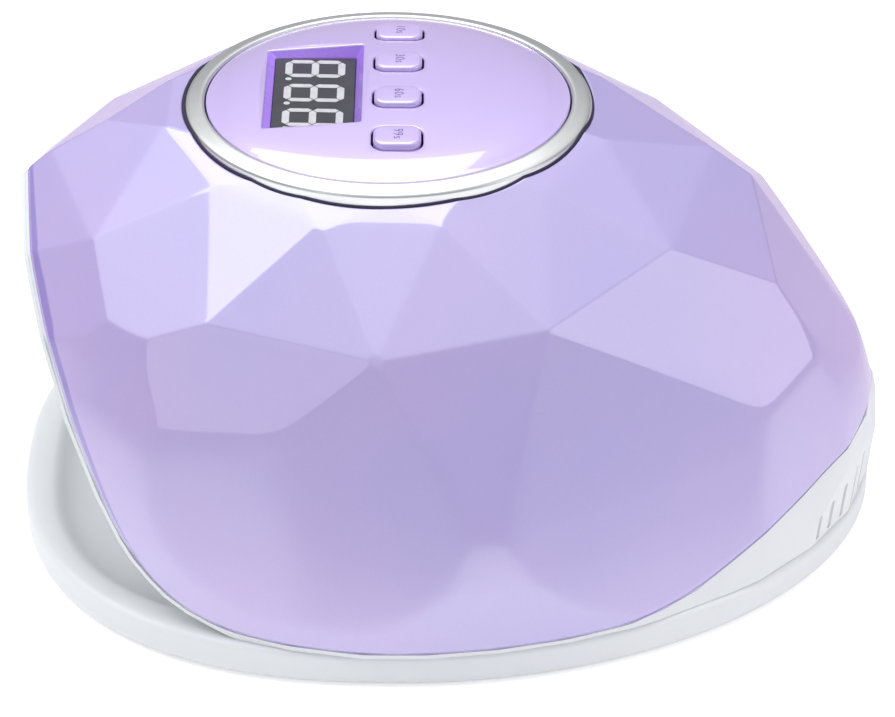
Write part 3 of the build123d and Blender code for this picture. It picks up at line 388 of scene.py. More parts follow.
def smooth_edge():
    """The lower edge's y and z, resampled evenly with its corners eased."""
    samples, reach = 1600, 30
    y, z = EDGE[:, 0], EDGE[:, 1]
    along = np.concatenate([[0], np.cumsum(np.hypot(np.diff(y), np.diff(z)))])
    even = np.linspace(0, along[-1], samples)
    kernel = np.hanning(2 * reach + 1)
    kernel /= kernel.sum()
    padded = [np.pad(np.interp(even, along, v), reach, mode="reflect", reflect_type="odd")
              for v in (y, z)]
    return [np.convolve(v, kernel, "valid") for v in padded]


def facet_planes():
    """Unit normals and distances of all facet planes, mirrored ones included."""
    mirrored = FACETS[np.abs(FACETS[:, 0]) > 1e-6] * [-1, 1, 1, 1]
    planes = np.concatenate([FACETS, mirrored])
    length = np.linalg.norm(planes[:, :3], axis=1)
    return planes[:, :3] / length[:, None], planes[:, 3] / length


EDGE_Y, EDGE_Z = smooth_edge()
PLANE_NORMALS, PLANE_DISTANCES = facet_planes()
CENTRE = np.array([0.0, RING_Y, 42.0])      # the shell is cast outwards from here


def above_edge(p):
    """Positive where a point is above the lower edge line."""
    return p[..., 2] - np.interp(p[..., 1], EDGE_Y, EDGE_Z)


def dome_level(p):
    """Negative inside the smooth dome, zero on it."""
    x, y, z = p[..., 0], p[..., 1] - HEAD_Y, p[..., 2]
    swell = smoothstep(np.clip((z - SWELL_Z) / SWELL_SPAN, 0, 1))
    wider = 1 + SWELL_OUT * swell
    x, y, z = x / wider, y / wider, z / (1 + SWELL_UP * swell)
    back = y >= 0
    reach = np.where(back, BACK_REACH, FRONT_REACH)
    power = np.where(back, BACK_POWER, FRONT_POWER)
    plan = (np.abs(x / HEAD_HALF_WIDTH) ** power + np.abs(y / reach) ** power) ** (1 / power)
    frontness = np.clip(-y / np.maximum(np.hypot(x, y), 1e-9), 0, 1) ** 2
    m, k = [side + (front - side) * frontness for side, front in zip(SIDE_RISE, FRONT_RISE)]
    up = np.clip((z - WIDEST_Z) / (HEAD_TOP - WIDEST_Z), 0, 1)
    high = np.maximum(1 - up ** k, 1e-6) ** (1 / m)
    low = 1 - LOW_TAPER * ((WIDEST_Z - z) / WIDEST_Z) ** 2
    limit = np.where(z > WIDEST_Z, high, low)
    limit = np.where(z > HEAD_TOP, TIP_SCALE, limit)
    return plan / limit - 1


def cast(directions, soft=None):
    """Distance from CENTRE to the shell along unit directions, corners eased by soft.
    Without soft, the easing goes from SOFT_LOW to SOFT_HIGH up the shell."""
    SOFT_LOW, SOFT_HIGH, SOFT_Z, SOFT_SPAN = 0.30, 0.055, 50, 22
    d = directions.reshape(-1, 3)
    near, far = np.full(len(d), 15.0), np.full(len(d), 160.0)
    for _ in range(26):
        mid = (near + far) / 2
        inside = dome_level(CENTRE + d * mid[:, None]) < 0
        near, far = np.where(inside, mid, near), np.where(inside, far, mid)
    to_dome = ((near + far) / 2)[:, None]
    room = PLANE_DISTANCES - PLANE_NORMALS @ CENTRE
    slope = d @ PLANE_NORMALS.T
    to_planes = np.where(slope > 1e-3, room / np.maximum(slope, 1e-3), 1e6)
    reach = np.concatenate([to_dome, to_planes], 1)
    least = reach.min(1, keepdims=True)
    if soft is None:
        z = CENTRE[2] + d[:, 2] * least[:, 0]
        up = np.clip((z - SOFT_Z) / SOFT_SPAN, 0, 1)
        soft = SOFT_LOW + (SOFT_HIGH - SOFT_LOW) * smoothstep(up)
    excess = np.clip((reach - least) / np.reshape(soft, (-1, 1)), 0, 60)
    out = least[:, 0] - soft * np.log(np.exp(-excess).sum(1))
    return out.reshape(directions.shape[:-1])


def surface(phi, psi, soft=None):
    """Shell points at angle phi round the vertical, from +X, and psi down from it."""
    d = np.stack([np.sin(psi) * np.cos(phi), np.sin(psi) * np.sin(phi), np.cos(psi)], -1)
    return CENTRE + d * cast(d, soft)[..., None]


def angles(p):
    q = p - CENTRE
    return (np.arctan2(q[..., 1], q[..., 0]),
            np.arctan2(np.hypot(q[..., 0], q[..., 1]), q[..., 2]))


def solve(phi, test, low, high):
    """The angle psi where test(point) turns from positive to negative."""
    low, high = np.full(phi.shape, low), np.full(phi.shape, high)
    for _ in range(24):
        mid = (low + high) / 2
        positive = test(surface(phi, mid)) > 0
        low, high = np.where(positive, mid, low), np.where(positive, high, mid)
    return (low + high) / 2


def solve_radius(phi, radius):
    """The angle psi where the shell is at that radius from the ring's axis."""
    return solve(phi, lambda p: radius - np.hypot(p[..., 0], p[..., 1] - RING_Y), 0.1, 1.6)


def normals_at(phi, psi, soft=None):
    step = 2e-3
    round_way = surface(phi + step, psi, soft) - surface(phi - step, psi, soft)
    down_way = surface(phi, psi + step, soft) - surface(phi, psi - step, soft)
    return unit(np.cross(down_way, round_way))


# ------------------------------------------------------------------ shell
COLS = 1280
ROWS = 300
SHELL_THICKNESS = 2.4
HOLE_RADIUS = 48.25
HOLE_EASE = 0.45                    # round of the top hole's edge
EDGE_ROUND, FRONT_EXTRA = 0.95, 0.75    # round of the lower edge, and its growth at the front
END_BEVEL = 0.3                     # bevel on the inner corner of the lower edge
INSIDE_SOFT = 1.2                   # easing of the facets on the inside
LIP_SHADE_WIDTH = 2.9                    # widest part of the painted shade band beside the front edge
LINER_SEAT = 0.35                   # depth of the liner rim's base line below the outside
LINER_LOWEST = 9.06
# Section of the liner's rim: share of its reach past the edge (negative: mm), mm inwards.
LINER_SECTION = [(-1.6, 0.25), (-0.4, 0.25), (0.55, 0.25), (0.85, 0.36),
                 (1.0, 0.65), (1.0, 1.4), (0.8, 1.75), (-1.6, 1.9)]


def arc_rows(centre, radius, up, side, degrees):
    """Rows of points on arcs about centre, from up at 0 degrees towards side at 90."""
    return [centre + radius * (math.cos(a) * up + math.sin(a) * side)
            for a in np.radians(degrees)]


def make_liner_rim(tip, normal, out):
    """The white liner's rim: a thin rounded lip that shows along the shell's edge, less so
    towards the back."""
    reach = 0.85 - 0.65 * np.clip((tip[:, 1] - 46) / 18, 0, 1)
    base = tip - normal * LINER_SEAT
    rim = []
    for past, inwards in LINER_SECTION:
        shift = past * (reach if past > 0 else np.ones_like(reach))
        rim.append(base + out * shift[:, None] - normal * inwards)
    rim = np.array(rim)
    rim[..., 2] = np.maximum(rim[..., 2], LINER_LOWEST)
    make_loops("liner_rim", rim, "lamp_head", "white_abs")


def lip_shade_band(body, tip, front):
    """Share of the painted shade band, darker violet, at each point of the outside, widest beside
    the front edge.
    """
    width = LIP_SHADE_WIDTH * front ** 0.5 * np.clip((94 - tip[:, 2]) / 22, 0.1, 1)
    to_edge = np.linalg.norm(np.diff(body, axis=0), axis=2)[::-1].cumsum(0)[::-1]
    to_edge = np.concatenate([to_edge, np.zeros((1, COLS))])
    fade = np.clip((to_edge / np.maximum(width, 1e-3) - 0.7) / 0.3, 0, 1)
    return np.where(width > 0.2, 1 - smoothstep(fade), 0)


def make_shell():
    phi = np.linspace(0, 2 * math.pi, COLS, endpoint=False)
    # the lower edge line, and the direction out past it along the surface
    edge_psi = solve(phi, above_edge, 0.5, 2.6)
    tip = surface(phi, edge_psi)
    along = unit(np.roll(tip, -1, 0) - np.roll(tip, 1, 0))
    out = np.cross(normals_at(phi, edge_psi), along)
    out *= np.sign((out * (tip - surface(phi, edge_psi - 0.01))).sum(1))[:, None]
    # the outside stops short of the edge by the radius of its round
    front = smoothstep(np.clip((tip[:, 2] - 20) / 40, 0, 1) * (tip[:, 1] < 0))
    radius = (EDGE_ROUND + FRONT_EXTRA * front)[:, None]
    end_phi, end_psi = angles(tip - out * radius)
    turn = 2 * math.pi
    end_phi = np.where(end_phi - phi > math.pi, end_phi - turn,
                       np.where(end_phi - phi < -math.pi, end_phi + turn, end_phi))
    end = surface(end_phi, end_psi)
    end_normal = normals_at(end_phi, end_psi)
    top_psi = solve_radius(phi, HOLE_RADIUS + HOLE_EASE)
    down = np.linspace(0, 1, ROWS)[:, None]
    grid_phi = phi + (end_phi - phi) * down ** 2
    grid_psi = top_psi + (end_psi - top_psi) * down
    body = surface(grid_phi, grid_psi)
    # the hole's edge: wall, then a small round into the top
    top_normal = normals_at(phi, top_psi)
    radial = np.stack([np.cos(phi), np.sin(phi), 0 * phi], -1)
    inward = -radial
    inward = unit(inward - top_normal * (inward * top_normal).sum(1, keepdims=True))
    lip = arc_rows(body[0] - top_normal * HOLE_EASE, HOLE_EASE, top_normal, inward,
                   np.linspace(90, 15, 6))
    bottom = lip[0].copy()
    bottom[:, 2] -= SHELL_THICKNESS - HOLE_EASE
    # the lower edge: a round from the outside to the end, then the end face and its bevel
    centre = end - end_normal * radius
    arc = arc_rows(centre, radius, end_normal, out, np.linspace(12, 90, 8))
    face_end = centre + radius * out - end_normal * (SHELL_THICKNESS - radius - END_BEVEL)
    corner = centre + (radius - END_BEVEL) * out - end_normal * (SHELL_THICKNESS - radius)
    # the inside, coarser, back up to the hole
    inside = [body[k] - normals_at(grid_phi[k], grid_psi[k], INSIDE_SOFT) * SHELL_THICKNESS
              for k in np.linspace(ROWS - 1, 0, 14).astype(int)[1:-1]]
    rows = np.array([bottom, *lip, *body, *arc, face_end, corner, *inside,
                     bottom + radial * 0.6])
    make_liner_rim(tip, end_normal, out)
    # the last row joins the first again
    quads = strip(len(rows) + 1, COLS) % (len(rows) * COLS)
    obj = make_mesh("shell", rows, [quads], "lamp_head", "shell_pearl", "top_shell")
    # the rounded lower edge and end face take the darker violet of painted shade
    obj.data.materials.append(MATERIALS["shell_lip_shade"])
    body_row = 1 + len(lip)
    arc_row = body_row + ROWS
    row_of = np.arange(len(quads)) // COLS
    on_edge = (row_of > arc_row) & (row_of <= arc_row + len(arc) + 1)
    obj.data.polygons.foreach_set("material_index", on_edge.astype(np.int32))
    # painted shade: a darker violet band on the outside beside the front lip
    band = np.zeros((len(rows), COLS), np.float32)
    band[body_row:arc_row] = lip_shade_band(body, tip, front)
    attribute = obj.data.attributes.new("lip_shade_band", "FLOAT", "POINT")
    attribute.data.foreach_set("value", band.ravel())
    obj.data.update()


# ------------------------------------------------------------------ trim ring and the painted shadow under it
TURN_POINTS = 360
# Section of the ring, anticlockwise: radius, z.
RING_SECTION = [(43.05, 101.25), (47.8, 101.25), (47.8, 104.35), (47.45, 104.95),
                (46.6, 105.3), (44.1, 105.9), (43.4, 105.85), (43.05, 105.3)]
# Section of the painted shadow band under the ring: radius, height above the shell.
RING_SHADOW_SECTION = [(46.6, -1.6), (48.3, -1.6), (48.3, 0.25), (48.2, 0.5), (48.0, 0.62),
                  (47.6, 0.66)]
RING_SHADOW_FOLLOWS = 48.9       # radius at which the painted shadow band takes the shell's height
RING_SHADOW_TOP = 105.0


def make_ring():
    section = soften(RING_SECTION, radius=0.35, steps=5)
    loops = [circle(r, z, TURN_POINTS) for r, z in section + section[:1]]
    make_loops("ring", loops, "lamp_head", "ring_chrome", "trim_ring")


def make_ring_shadow():
    """Painted shadow under the ring: a thin near-black band that follows the shell round the ring,
    where the gap between ring and shell is in shade.
    """
    phi = np.linspace(0, 2 * math.pi, TURN_POINTS, endpoint=False)
    z = surface(phi, solve_radius(phi, RING_SHADOW_FOLLOWS))[:, 2]
    loops = [circle(r, np.minimum(z + dz, RING_SHADOW_TOP), TURN_POINTS) for r, dz in RING_SHADOW_SECTION]
    make_loops("ring_shadow", loops, "lamp_head", "switch_black", material="ring_gap_shadow")


# ------------------------------------------------------------------ control panel
PANEL_RADIUS = 42.7
PANEL_EASE = 0.45           # round of the panel's rims
PANEL_RIM_POINTS = 300
GRID_STEP = 1.1             # spacing of the top's inner points
# The domed top: radius, z. An even polynomial is fitted through it.
PROFILE = np.array([(0, 110.2), (10, 110.08), (20, 109.6), (28, 108.85), (34, 107.95),
                    (38.5, 107.0), (41.2, 106.15), (PANEL_RADIUS, 105.35)])
POWERS = np.stack([PROFILE[:, 0] ** (2 * k) / PANEL_RADIUS ** (2 * k) for k in range(5)], 1)
DOME_TERMS = np.linalg.lstsq(POWERS, PROFILE[:, 1], rcond=None)[0]

BUTTON_Y = -11.5
BUTTONS = {"10s": -27.2, "30s": -9.1, "60s": 9.1, "99s": 27.2}     # label: x
CAP_WIDTH, CAP_DEPTH, CAP_CORNER = 9.0, 11.0, 3.0
CAP_GAP = 0.45
CORNER_POINTS = 14
HOLE_SIZE = (CAP_WIDTH + 2 * CAP_GAP, CAP_DEPTH + 2 * CAP_GAP)
# Each opening narrows from size at the top to floor_size at floor_z, then drops to end_z.
# wall_slot is the material slot of its walls.
WINDOW = dict(size=(40.2, 22.8), corner=0.8, at=(0, RING_Y - 17.4), corner_points=10,
              floor_size=(37.9, 19.3), floor_corner=0.5, floor_z=106.3, end_z=104.6, wall_slot=1)
OPENINGS = [WINDOW] + [
    dict(size=HOLE_SIZE, corner=3.3, at=(x, BUTTON_Y), corner_points=CORNER_POINTS,
         floor_size=HOLE_SIZE, floor_corner=3.3, floor_z=105.4, end_z=104.2, wall_slot=2)
    for x in BUTTONS.values()]


def panel_z(x, y):
    r2 = (np.asarray(x) ** 2 + (np.asarray(y) - RING_Y) ** 2) / PANEL_RADIUS ** 2
    return sum(c * r2 ** k for k, c in enumerate(DOME_TERMS))


def opening_outlines(hole):
    """Outlines of an opening: where its eased rim starts, its edge and its floor."""
    (w, d), corner = hole["size"], hole["corner"]
    place = (hole["corner_points"], *hole["at"])
    return (rounded_rect(w + 2 * PANEL_EASE, d + 2 * PANEL_EASE, corner + PANEL_EASE, *place),
            rounded_rect(w, d, corner, *place),
            rounded_rect(*hole["floor_size"], hole["floor_corner"], *place))


def near_opening(x, y):
    margin = 0.25
    return any(abs(x - hole["at"][0]) < hole["size"][0] / 2 + PANEL_EASE + margin
               and abs(y - hole["at"][1]) < hole["size"][1] / 2 + PANEL_EASE + margin
               for hole in OPENINGS)


def in_polygon(x, y, outline):
    ax, ay = outline[:, 0], outline[:, 1]
    bx, by = np.roll(ax, -1), np.roll(ay, -1)
    rise = np.where(by == ay, 1e-9, by - ay)
    crossed = ((ay > y) != (by > y)) & (x < (bx - ax) * (y - ay) / rise + ax)
    return crossed.sum() % 2 == 1


def panel_top(borders):
    """Flat triangulation between the first border and the others: points and triangles."""
    points, edges = [], []
    for border in borders:
        first, n = len(points), len(border)
        points += [tuple(p) for p in border]
        edges += [(first + i, first + (i + 1) % n) for i in range(n)]
    flat_radius = PANEL_RADIUS - PANEL_EASE
    n_grid = int(PANEL_RADIUS / GRID_STEP)
    for i in range(-n_grid, n_grid + 1):
        for j in range(-n_grid, n_grid + 1):
            x = (i + 0.5 * (j % 2)) * GRID_STEP
            y = RING_Y + j * GRID_STEP * 0.9
            if math.hypot(x, y - RING_Y) < flat_radius - 0.5 and not near_opening(x, y):
                points.append((x, y))
    points, _, faces, *_ = delaunay_2d_cdt([Vector(p) for p in points], edges, [], 0, 1e-5)
    points = np.array([tuple(p) for p in points])
    kept = []
    for face in faces:
        x, y = points[list(face)].mean(0)
        outside = math.hypot(x, y - RING_Y) > flat_radius + 0.01
        if not outside and not any(in_polygon(x, y, border) for border in borders[1:]):
            kept.append(list(face))
    kept = np.array(kept)
    # make every triangle face up
    p0, p1, p2 = (points[kept[:, k]] for k in range(3))
    area = ((p1[:, 0] - p0[:, 0]) * (p2[:, 1] - p0[:, 1])
            - (p1[:, 1] - p0[:, 1]) * (p2[:, 0] - p0[:, 0]))
    kept[area < 0] = kept[area < 0][:, ::-1]
    return points, kept


def panel_rim(border):
    """Loops of the outer rim: ease, wall, underside."""
    z = panel_z(border[:, 0], border[:, 1])
    rows = [circle(PANEL_RADIUS - PANEL_EASE + PANEL_EASE * math.sin(t),
                   z - PANEL_EASE * (1 - math.cos(t)), PANEL_RIM_POINTS)
            for t in np.radians(np.linspace(0, 90, 6))]
    for inset, z in ((0, 103.0), (2, 103.0), (2.2, 104.4)):
        rows.append(circle(PANEL_RADIUS - inset, z, PANEL_RIM_POINTS))
    return rows


def opening_rows(hole, start, edge, floor):
    """Loops of an opening: four bands of ease, then its walls."""
    z = panel_z(start[:, 0], start[:, 1])
    rows = [at_height(start + (edge - start) * math.sin(t), z - PANEL_EASE * (1 - math.cos(t)))
            for t in np.radians(np.linspace(0, 90, 5))]
    for k in np.linspace(0.08, 1, 8):
        rows.append(at_height(edge + (floor - edge) * k,
                              (z - PANEL_EASE) * (1 - k) + hole["floor_z"] * k))
    rows.append(at_height(floor, hole["end_z"]))
    return rows


def make_panel():
    """The domed disc, with openings for the window and the four buttons."""
    outlines = [opening_outlines(hole) for hole in OPENINGS]
    outer = circle(PANEL_RADIUS - PANEL_EASE, 0.0, PANEL_RIM_POINTS)[:, :2]
    points, triangles = panel_top([outer] + [start for start, _, _ in outlines])
    verts = [at_height(points, panel_z(points[:, 0], points[:, 1]))]
    faces, slots = [triangles], [np.zeros(len(triangles), int)]
    count = len(points)
    rim = panel_rim(outer)
    verts += rim
    faces.append(strip(len(rim), PANEL_RIM_POINTS, count, flip=True))
    slots.append(np.zeros(len(faces[-1]), int))
    count += len(rim) * PANEL_RIM_POINTS
    for hole, shapes in zip(OPENINGS, outlines):
        rows = opening_rows(hole, *shapes)
        n = len(rows[0])
        verts += rows
        faces.append(strip(len(rows), n, count))
        row_of = np.arange(len(faces[-1])) // n
        slots.append(np.where(row_of >= 4, hole["wall_slot"], 0))
        count += len(rows) * n
    obj = make_mesh("panel", np.concatenate(verts), faces, "lamp_head", "panel_pearl",
                    "control_panel")
    obj.data.materials.append(MATERIALS["well_violet"])
    # the button holes' walls get near-black violet, painted shade for the gap round each cap
    obj.data.materials.append(MATERIALS["button_gap_shade"])
    obj.data.polygons.foreach_set("material_index", np.concatenate(slots).astype(np.int32))
    # join the loops where the top meets its rims
    bm = bmesh.new()
    bm.from_mesh(obj.data)
    bmesh.ops.remove_doubles(bm, verts=bm.verts, dist=2e-6)
    bm.to_mesh(obj.data)
    bm.free()
    obj.data.update()


# ------------------------------------------------------------------ buttons
CAP_PROUD = 1.0             # height of the cap's flat above the panel
CAP_HEIGHT = 5.4
CAP_EASE = 0.85
CAP_CROWN = 0.14            # rise of the cap's middle
TILT_SHARE = 0.35           # share of the panel's slope that the cap follows
NUMERAL_SIZE, NUMERAL_EXTRUDE, NUMERAL_SPACING = 3.1, 0.03, 1.12
NUMERAL_RISE = 0.2          # shift of the numeral towards +Y
NUMERAL_SINK = 0.01
NUMERAL_REACH = (3.15, 4.65)    # x and y over which the numeral bends with the crown
NUMERAL_BEND = 0.8


def make_cap(tag, x, top, tilt):
    base = top - CAP_HEIGHT
    shoulder = top - CAP_EASE

    def outline(inset):
        return rounded_rect(CAP_WIDTH - 2 * inset, CAP_DEPTH - 2 * inset, CAP_CORNER - inset,
                            CORNER_POINTS)

    rows = [at_height(outline(0), z) for z in (base, shoulder)]
    for a in np.radians(np.linspace(12, 90, 7)):
        rows.append(at_height(outline(CAP_EASE * (1 - math.cos(a))),
                              shoulder + CAP_EASE * math.sin(a)))
    for k in np.linspace(0.86, 0.0, 9):
        rows.append(at_height(outline(CAP_EASE) * max(k, 1e-4), top + CAP_CROWN * (1 - k * k)))
    rows = np.array(rows)
    rows[..., 2] += np.where(rows[..., 2] > base + 0.1, rows[..., 0] * tilt, 0)
    rows[..., 0] += x
    rows[..., 1] += BUTTON_Y
    make_loops("key_" + tag, rows, "press_" + tag, "button_pearl", "button_" + tag)


def make_numeral(tag, button_x, top, tilt):
    """The time, printed: thin ink just proud of the cap, bent to its crown."""
    text = bpy.data.curves.new("numeral_" + tag, "FONT")
    text.body = tag
    text.size = NUMERAL_SIZE * MM
    text.align_x = "CENTER"
    text.align_y = "CENTER"
    text.extrude = NUMERAL_EXTRUDE * MM
    text.space_character = NUMERAL_SPACING
    curve = bpy.data.objects.new("numeral_curve_" + tag, text)
    bpy.context.scene.collection.objects.link(curve)
    bpy.context.view_layer.update()
    graph = bpy.context.evaluated_depsgraph_get()
    mesh = bpy.data.meshes.new_from_object(curve.evaluated_get(graph))
    bpy.data.objects.remove(curve)
    mesh.name = "numeral_" + tag
    obj = bpy.data.objects.new("numeral_" + tag, mesh)
    bpy.context.scene.collection.objects.link(obj)
    points = np.zeros(len(mesh.vertices) * 3)
    mesh.vertices.foreach_get("co", points)
    points = points.reshape(-1, 3)
    x = points[:, 0] + button_x * MM
    y = points[:, 1] + (BUTTON_Y + NUMERAL_RISE) * MM
    dx, dy = x / MM - button_x, y / MM - BUTTON_Y
    off_middle = (dx / NUMERAL_REACH[0]) ** 2 + (dy / NUMERAL_REACH[1]) ** 2
    cap_z = top + CAP_CROWN * (1 - off_middle * NUMERAL_BEND) + dx * tilt
    z = (cap_z - NUMERAL_SINK) * MM + points[:, 2]
    mesh.vertices.foreach_set("co", np.stack([x, y, z], -1).astype(np.float32).ravel())
    mesh.materials.clear()
    mesh.materials.append(MATERIALS["ink_violet"])
    mesh.update()
    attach(obj, "press_" + tag)


def make_button(tag, x):
    top = float(panel_z(x, BUTTON_Y)) + CAP_PROUD
    slope = (float(panel_z(x + 2, BUTTON_Y)) - float(panel_z(x - 2, BUTTON_Y))) / 4
    make_cap(tag, x, top, slope * TILT_SHARE)
    make_numeral(tag, x, top, slope * TILT_SHARE)


# ------------------------------------------------------------------ base tray
# Outlines of two half superellipses meeting at y: reach and exponent to each side.
TRAY = dict(half_width=90.3, y=-9.5, front=93.6, back=112.7, front_power=2.4, back_power=1.93)
DISH = dict(half_width=78.0, y=-20.0, front=76.3, back=82.0, front_power=2.6, back_power=2.4)
# Outer wall from the underside up to the top: z, inset from TRAY.
WALL = [(2.55, 4.2), (0.9, 4.2), (0.6, 3.8), (0.6, 2.0), (0.85, 1.2), (1.3, 0.7), (2.0, 0.3),
        (3.0, 0.05), (5.0, 0.0), (7.2, 0.0), (7.9, 0.15), (8.4, 0.45), (8.75, 0.9),
        (8.95, 1.5), (9.0, 2.2), (9.0, 3.4)]
# Slope of the dish down to its floor: z, inset from DISH.
DISH_SLOPE = [(8.3, 1.1), (7.7, 2.0), (7.0, 3.1), (6.3, 4.4), (5.7, 5.9), (5.25, 7.6),
              (4.95, 9.6), (4.82, 12.0), (4.8, 16.0)]
DISH_MIDDLE = np.array([0.0, -18.0])
LAND_DROP = 0.25            # fall of the top from the wall to the dish


def egg(shape, inset=0.0):
    """Outline whose front and rear halves are superellipses; even steps of its own angle."""
    a = np.linspace(0, 2 * math.pi, 360, endpoint=False)
    c, s = np.cos(a), np.sin(a)
    power = np.where(s < 0, shape["front_power"], shape["back_power"])
    length = np.where(s < 0, shape["front"], shape["back"]) - inset
    width = shape["half_width"] - inset
    r = (np.abs(c / width) ** power + np.abs(s / length) ** power) ** (-1 / power)
    return np.stack([r * c, shape["y"] + r * s], -1)


def make_tray():
    under_z, under_inset = WALL[0]
    top_z, top_inset = WALL[-1]
    floor_z, floor_inset = DISH_SLOPE[-1]
    under, top = egg(TRAY, under_inset), egg(TRAY, top_inset)
    dish, floor = egg(DISH), egg(DISH, floor_inset)
    rows = [at_height(under * k, under_z) for k in np.linspace(1e-4, 1.0, 6)[:-1]]
    rows += [at_height(egg(TRAY, inset), z) for z, inset in WALL]
    rows += [at_height(top + (dish - top) * k, top_z - LAND_DROP * k * k)
             for k in np.linspace(0.1, 1.0, 8)]
    rows += [at_height(egg(DISH, inset), z) for z, inset in DISH_SLOPE]
    rows += [at_height(DISH_MIDDLE + (floor - DISH_MIDDLE) * max(k, 1e-4), floor_z)
             for k in np.linspace(0.88, 0.0, 12)]
    make_loops("tray", rows, "tray", "tray_white", "base_tray", sharp=40)


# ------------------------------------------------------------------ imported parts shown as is


def soft_shading():
    """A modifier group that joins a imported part's facets and shades gentle angles smooth."""
    group = bpy.data.node_groups.new("soft_shading", "GeometryNodeTree")
    for way in ("INPUT", "OUTPUT"):
        group.interface.new_socket("Geometry", in_out=way, socket_type="NodeSocketGeometry")
    add, link = group.nodes.new, group.links.new
    start, end = add("NodeGroupInput"), add("NodeGroupOutput")
    remove = add("GeometryNodeRemoveAttribute")
    remove.inputs["Name"].default_value = "custom_normal"
    merge = add("GeometryNodeMergeByDistance")
    merge.inputs["Distance"].default_value = 2e-6
    faces = add("GeometryNodeSetShadeSmooth")
    faces.domain = "FACE"
    edges = add("GeometryNodeSetShadeSmooth")
    edges.domain = "EDGE"
    angle = add("GeometryNodeInputMeshEdgeAngle")
    steep = add("FunctionNodeCompare")
    steep.data_type = "FLOAT"
    steep.operation = "GREATER_THAN"
    steep.inputs[1].default_value = math.radians(24)
    faces.inputs["Shade Smooth"].default_value = True
    edges.inputs["Shade Smooth"].default_value = False
    link(angle.outputs[0], steep.inputs[0])
    link(start.outputs[0], remove.inputs[0])
    link(remove.outputs[0], merge.inputs["Geometry"])
    link(merge.outputs[0], faces.inputs["Geometry"])
    link(faces.outputs[0], edges.inputs["Geometry"])
    link(steep.outputs[0], edges.inputs["Selection"])
    link(edges.outputs[0], end.inputs[0])
    return group


def dress_packed_parts():
    group = soft_shading()
    slot_of = {part["node"]: part["material_slot"] for part in frame["record"]["subparts"]}
    for name, obj in frame["nodes"].items():
        if obj.hide_render:
            continue
        obj.data.materials.clear()
        obj.data.materials.append(MATERIALS[slot_of[name]])
        obj.modifiers.new("soft_shading", "NODES").node_group = group


# ------------------------------------------------------------------ stage, in metres


def floor_material():
    """Near white to the camera; what it gives back to the lamp falls off with distance."""
    m = Nodes("floor_white")
    cloud = m.noise(3.0)
    colour = m.mix(m.ramp(cloud, low=0.3, high=0.7), (0.93, 0.93, 0.935), (0.915, 0.915, 0.92))
    seen = m.add("ShaderNodeLightPath").outputs["Is Camera Ray"]
    reach = m.add("ShaderNodeVectorMath", {0: m.place}, operation="LENGTH").outputs["Value"]
    far = m.ramp(reach, low=0.14, high=1.0)
    bounce = m.mix(far, (0.93, 0.93, 0.94), (0.42, 0.42, 0.45))
    # the floor beyond the lamp is mirrored at grazing angles along its flanks
    x = m.add("ShaderNodeSeparateXYZ", {0: m.place}).outputs[0]
    beyond = m.ramp(x, low=-0.10, high=0.02, start=1.0, end=0.0)
    bounce = m.mix(beyond, bounce, (0.60, 0.53, 0.66))
    colour = m.mix(seen, bounce, colour)
    glow = m.mix(m.math("MAXIMUM", far, beyond), (0.14, 0.135, 0.14), (0.0, 0.0, 0.0))
    glow = m.mix(seen, glow, (0.42, 0.42, 0.42))
    m.surface(Base_Color=colour, Roughness=0.85, Specular_IOR_Level=0.1, Emission_Color=glow,
              Emission_Strength=1.0)
    return m.mat


def make_floor():
    material = floor_material()
    mesh = bpy.data.meshes.new("floor")
    s = 30.0
    mesh.from_pydata([(-s, -s, 0), (s, -s, 0), (s, s, 0), (-s, s, 0)], [], [(0, 1, 2, 3)])
    mesh.materials.append(material)
    obj = bpy.data.objects.new("floor", mesh)
    bpy.context.scene.collection.objects.link(obj)
    obj.location = (0, 0, -0.0001)


def place_object(name, data, place, rotation):
    obj = bpy.data.objects.new(name, data)
    bpy.context.scene.collection.objects.link(obj)
    obj.location = place
    obj.rotation_mode = "QUATERNION"
    obj.rotation_quaternion = rotation
    return obj


def aim(place, target):
    return (Vector(target) - Vector(place)).to_track_quat("-Z", "Y")


def area(name, place, size, power, colour, target=None, turn=0.0, size_y=None, glossy=True):
    """An area light aimed at target or, without one, straight down and turned by degrees."""
    light = bpy.data.lights.new(name, "AREA")
    light.energy = power
    light.color = colour
    light.size = size
    if size_y:
        light.shape = "RECTANGLE"
        light.size_y = size_y
    if target:
        rotation = aim(place, target)
    else:
        rotation = Matrix.Rotation(math.radians(turn), 3, "Z").to_quaternion()
    place_object(name, light, place, rotation).visible_glossy = glossy


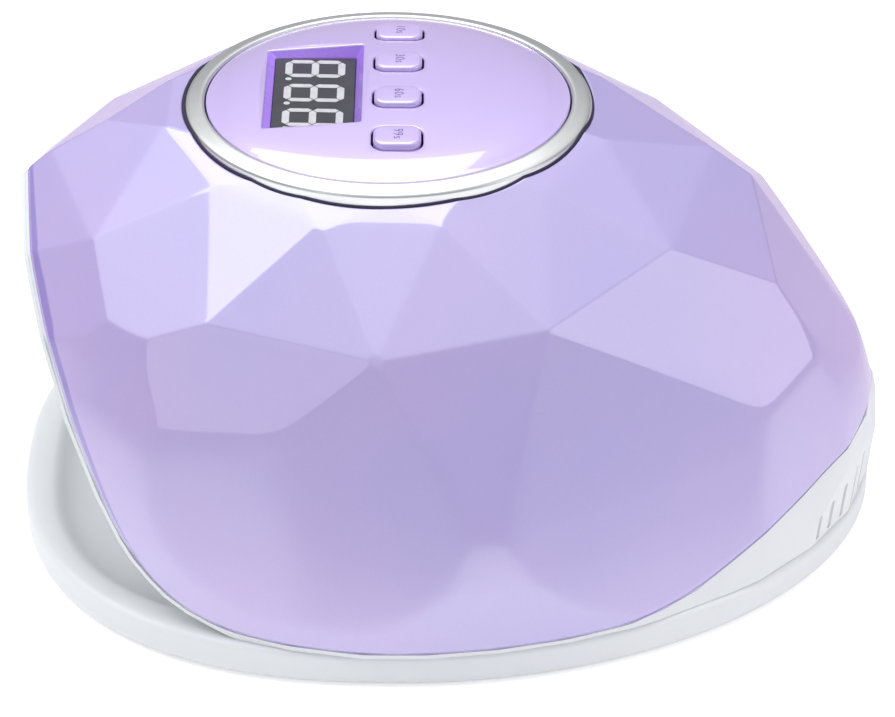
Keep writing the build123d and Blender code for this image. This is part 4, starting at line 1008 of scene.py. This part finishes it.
def make_lights():
    # one large overhead softbox, crisp in the clear coat; the side lights only fill
    area("key", (-0.22, -0.37, 1.28), size=1.44, size_y=1.46, power=13.6,
         colour=(1.0, 0.998, 0.995), turn=3.3)
    area("left", (-0.4, -1.5, 1.0), target=(0, 0, 0.05), size=0.8, power=3.4,
         colour=(0.98, 0.96, 1.0), glossy=False)
    area("right", (0.3, 1.4, 0.8), target=(0, 0, 0.05), size=1.0, power=2.4,
         colour=(1.0, 0.94, 1.0), glossy=False)
    # two low cards, each mirrored by one facet of the lower row
    area("card_right", (0.46, 1.45, 0.43), target=(0.05, 0.05, 0.06), size=0.75, size_y=0.55,
         power=1.5, colour=(1.0, 0.93, 1.0))
    area("card_left", (1.10, -0.74, 0.43), target=(0.06, -0.05, 0.06), size=0.42, size_y=0.42,
         power=0.34, colour=(1.0, 0.96, 1.0))


def make_world():
    """A pale, slightly cool studio, dimmer towards the horizon except to the camera."""
    world = bpy.data.worlds.new("studio")
    world.use_nodes = True
    tree = world.node_tree
    add, link = tree.nodes.new, tree.links.new
    background = tree.nodes["Background"]
    place = add("ShaderNodeTexCoord")
    split = add("ShaderNodeSeparateXYZ")
    link(place.outputs["Generated"], split.inputs[0])
    up = add("ShaderNodeMapRange")
    up.interpolation_type = "SMOOTHSTEP"
    levels = {"From Min": 0.25, "From Max": 0.85, "To Min": 0.29, "To Max": 0.87}
    for index, value in enumerate(levels.values(), start=1):
        up.inputs[index].default_value = value
    link(split.outputs[2], up.inputs[0])
    background.inputs[0].default_value = (0.955, 0.97, 1.0, 1.0)
    seen = add("ShaderNodeLightPath")
    level = add("ShaderNodeMix")
    level.inputs["B"].default_value = 1.0
    link(seen.outputs["Is Camera Ray"], level.inputs["Factor"])
    link(up.outputs[0], level.inputs["A"])
    link(level.outputs["Result"], background.inputs[1])
    bpy.context.scene.world = world


def make_camera():
    """One metre from the target, raised by the elevation."""
    elevation = math.radians(30.4)
    target = Vector((0, 0, 0.03455))
    place = target + Vector((math.cos(elevation), 0, math.sin(elevation)))
    camera = bpy.data.cameras.new("camera")
    camera.sensor_width = 36.0
    camera.lens = 165.5
    camera.clip_start = 0.01
    camera.clip_end = 100.0
    scene = bpy.context.scene
    scene.camera = place_object("camera", camera, place, aim(place, target))
    scene.view_settings.view_transform = "Standard"
    scene.view_settings.look = "None"
    scene.view_settings.exposure = 0.0


# ------------------------------------------------------------------ build
make_shell()
make_ring()
make_ring_shadow()
make_panel()
for tag, x in BUTTONS.items():
    make_button(tag, x)
make_tray()
dress_packed_parts()
make_floor()
make_lights()
make_world()
make_camera()

bpy.context.view_layer.update()
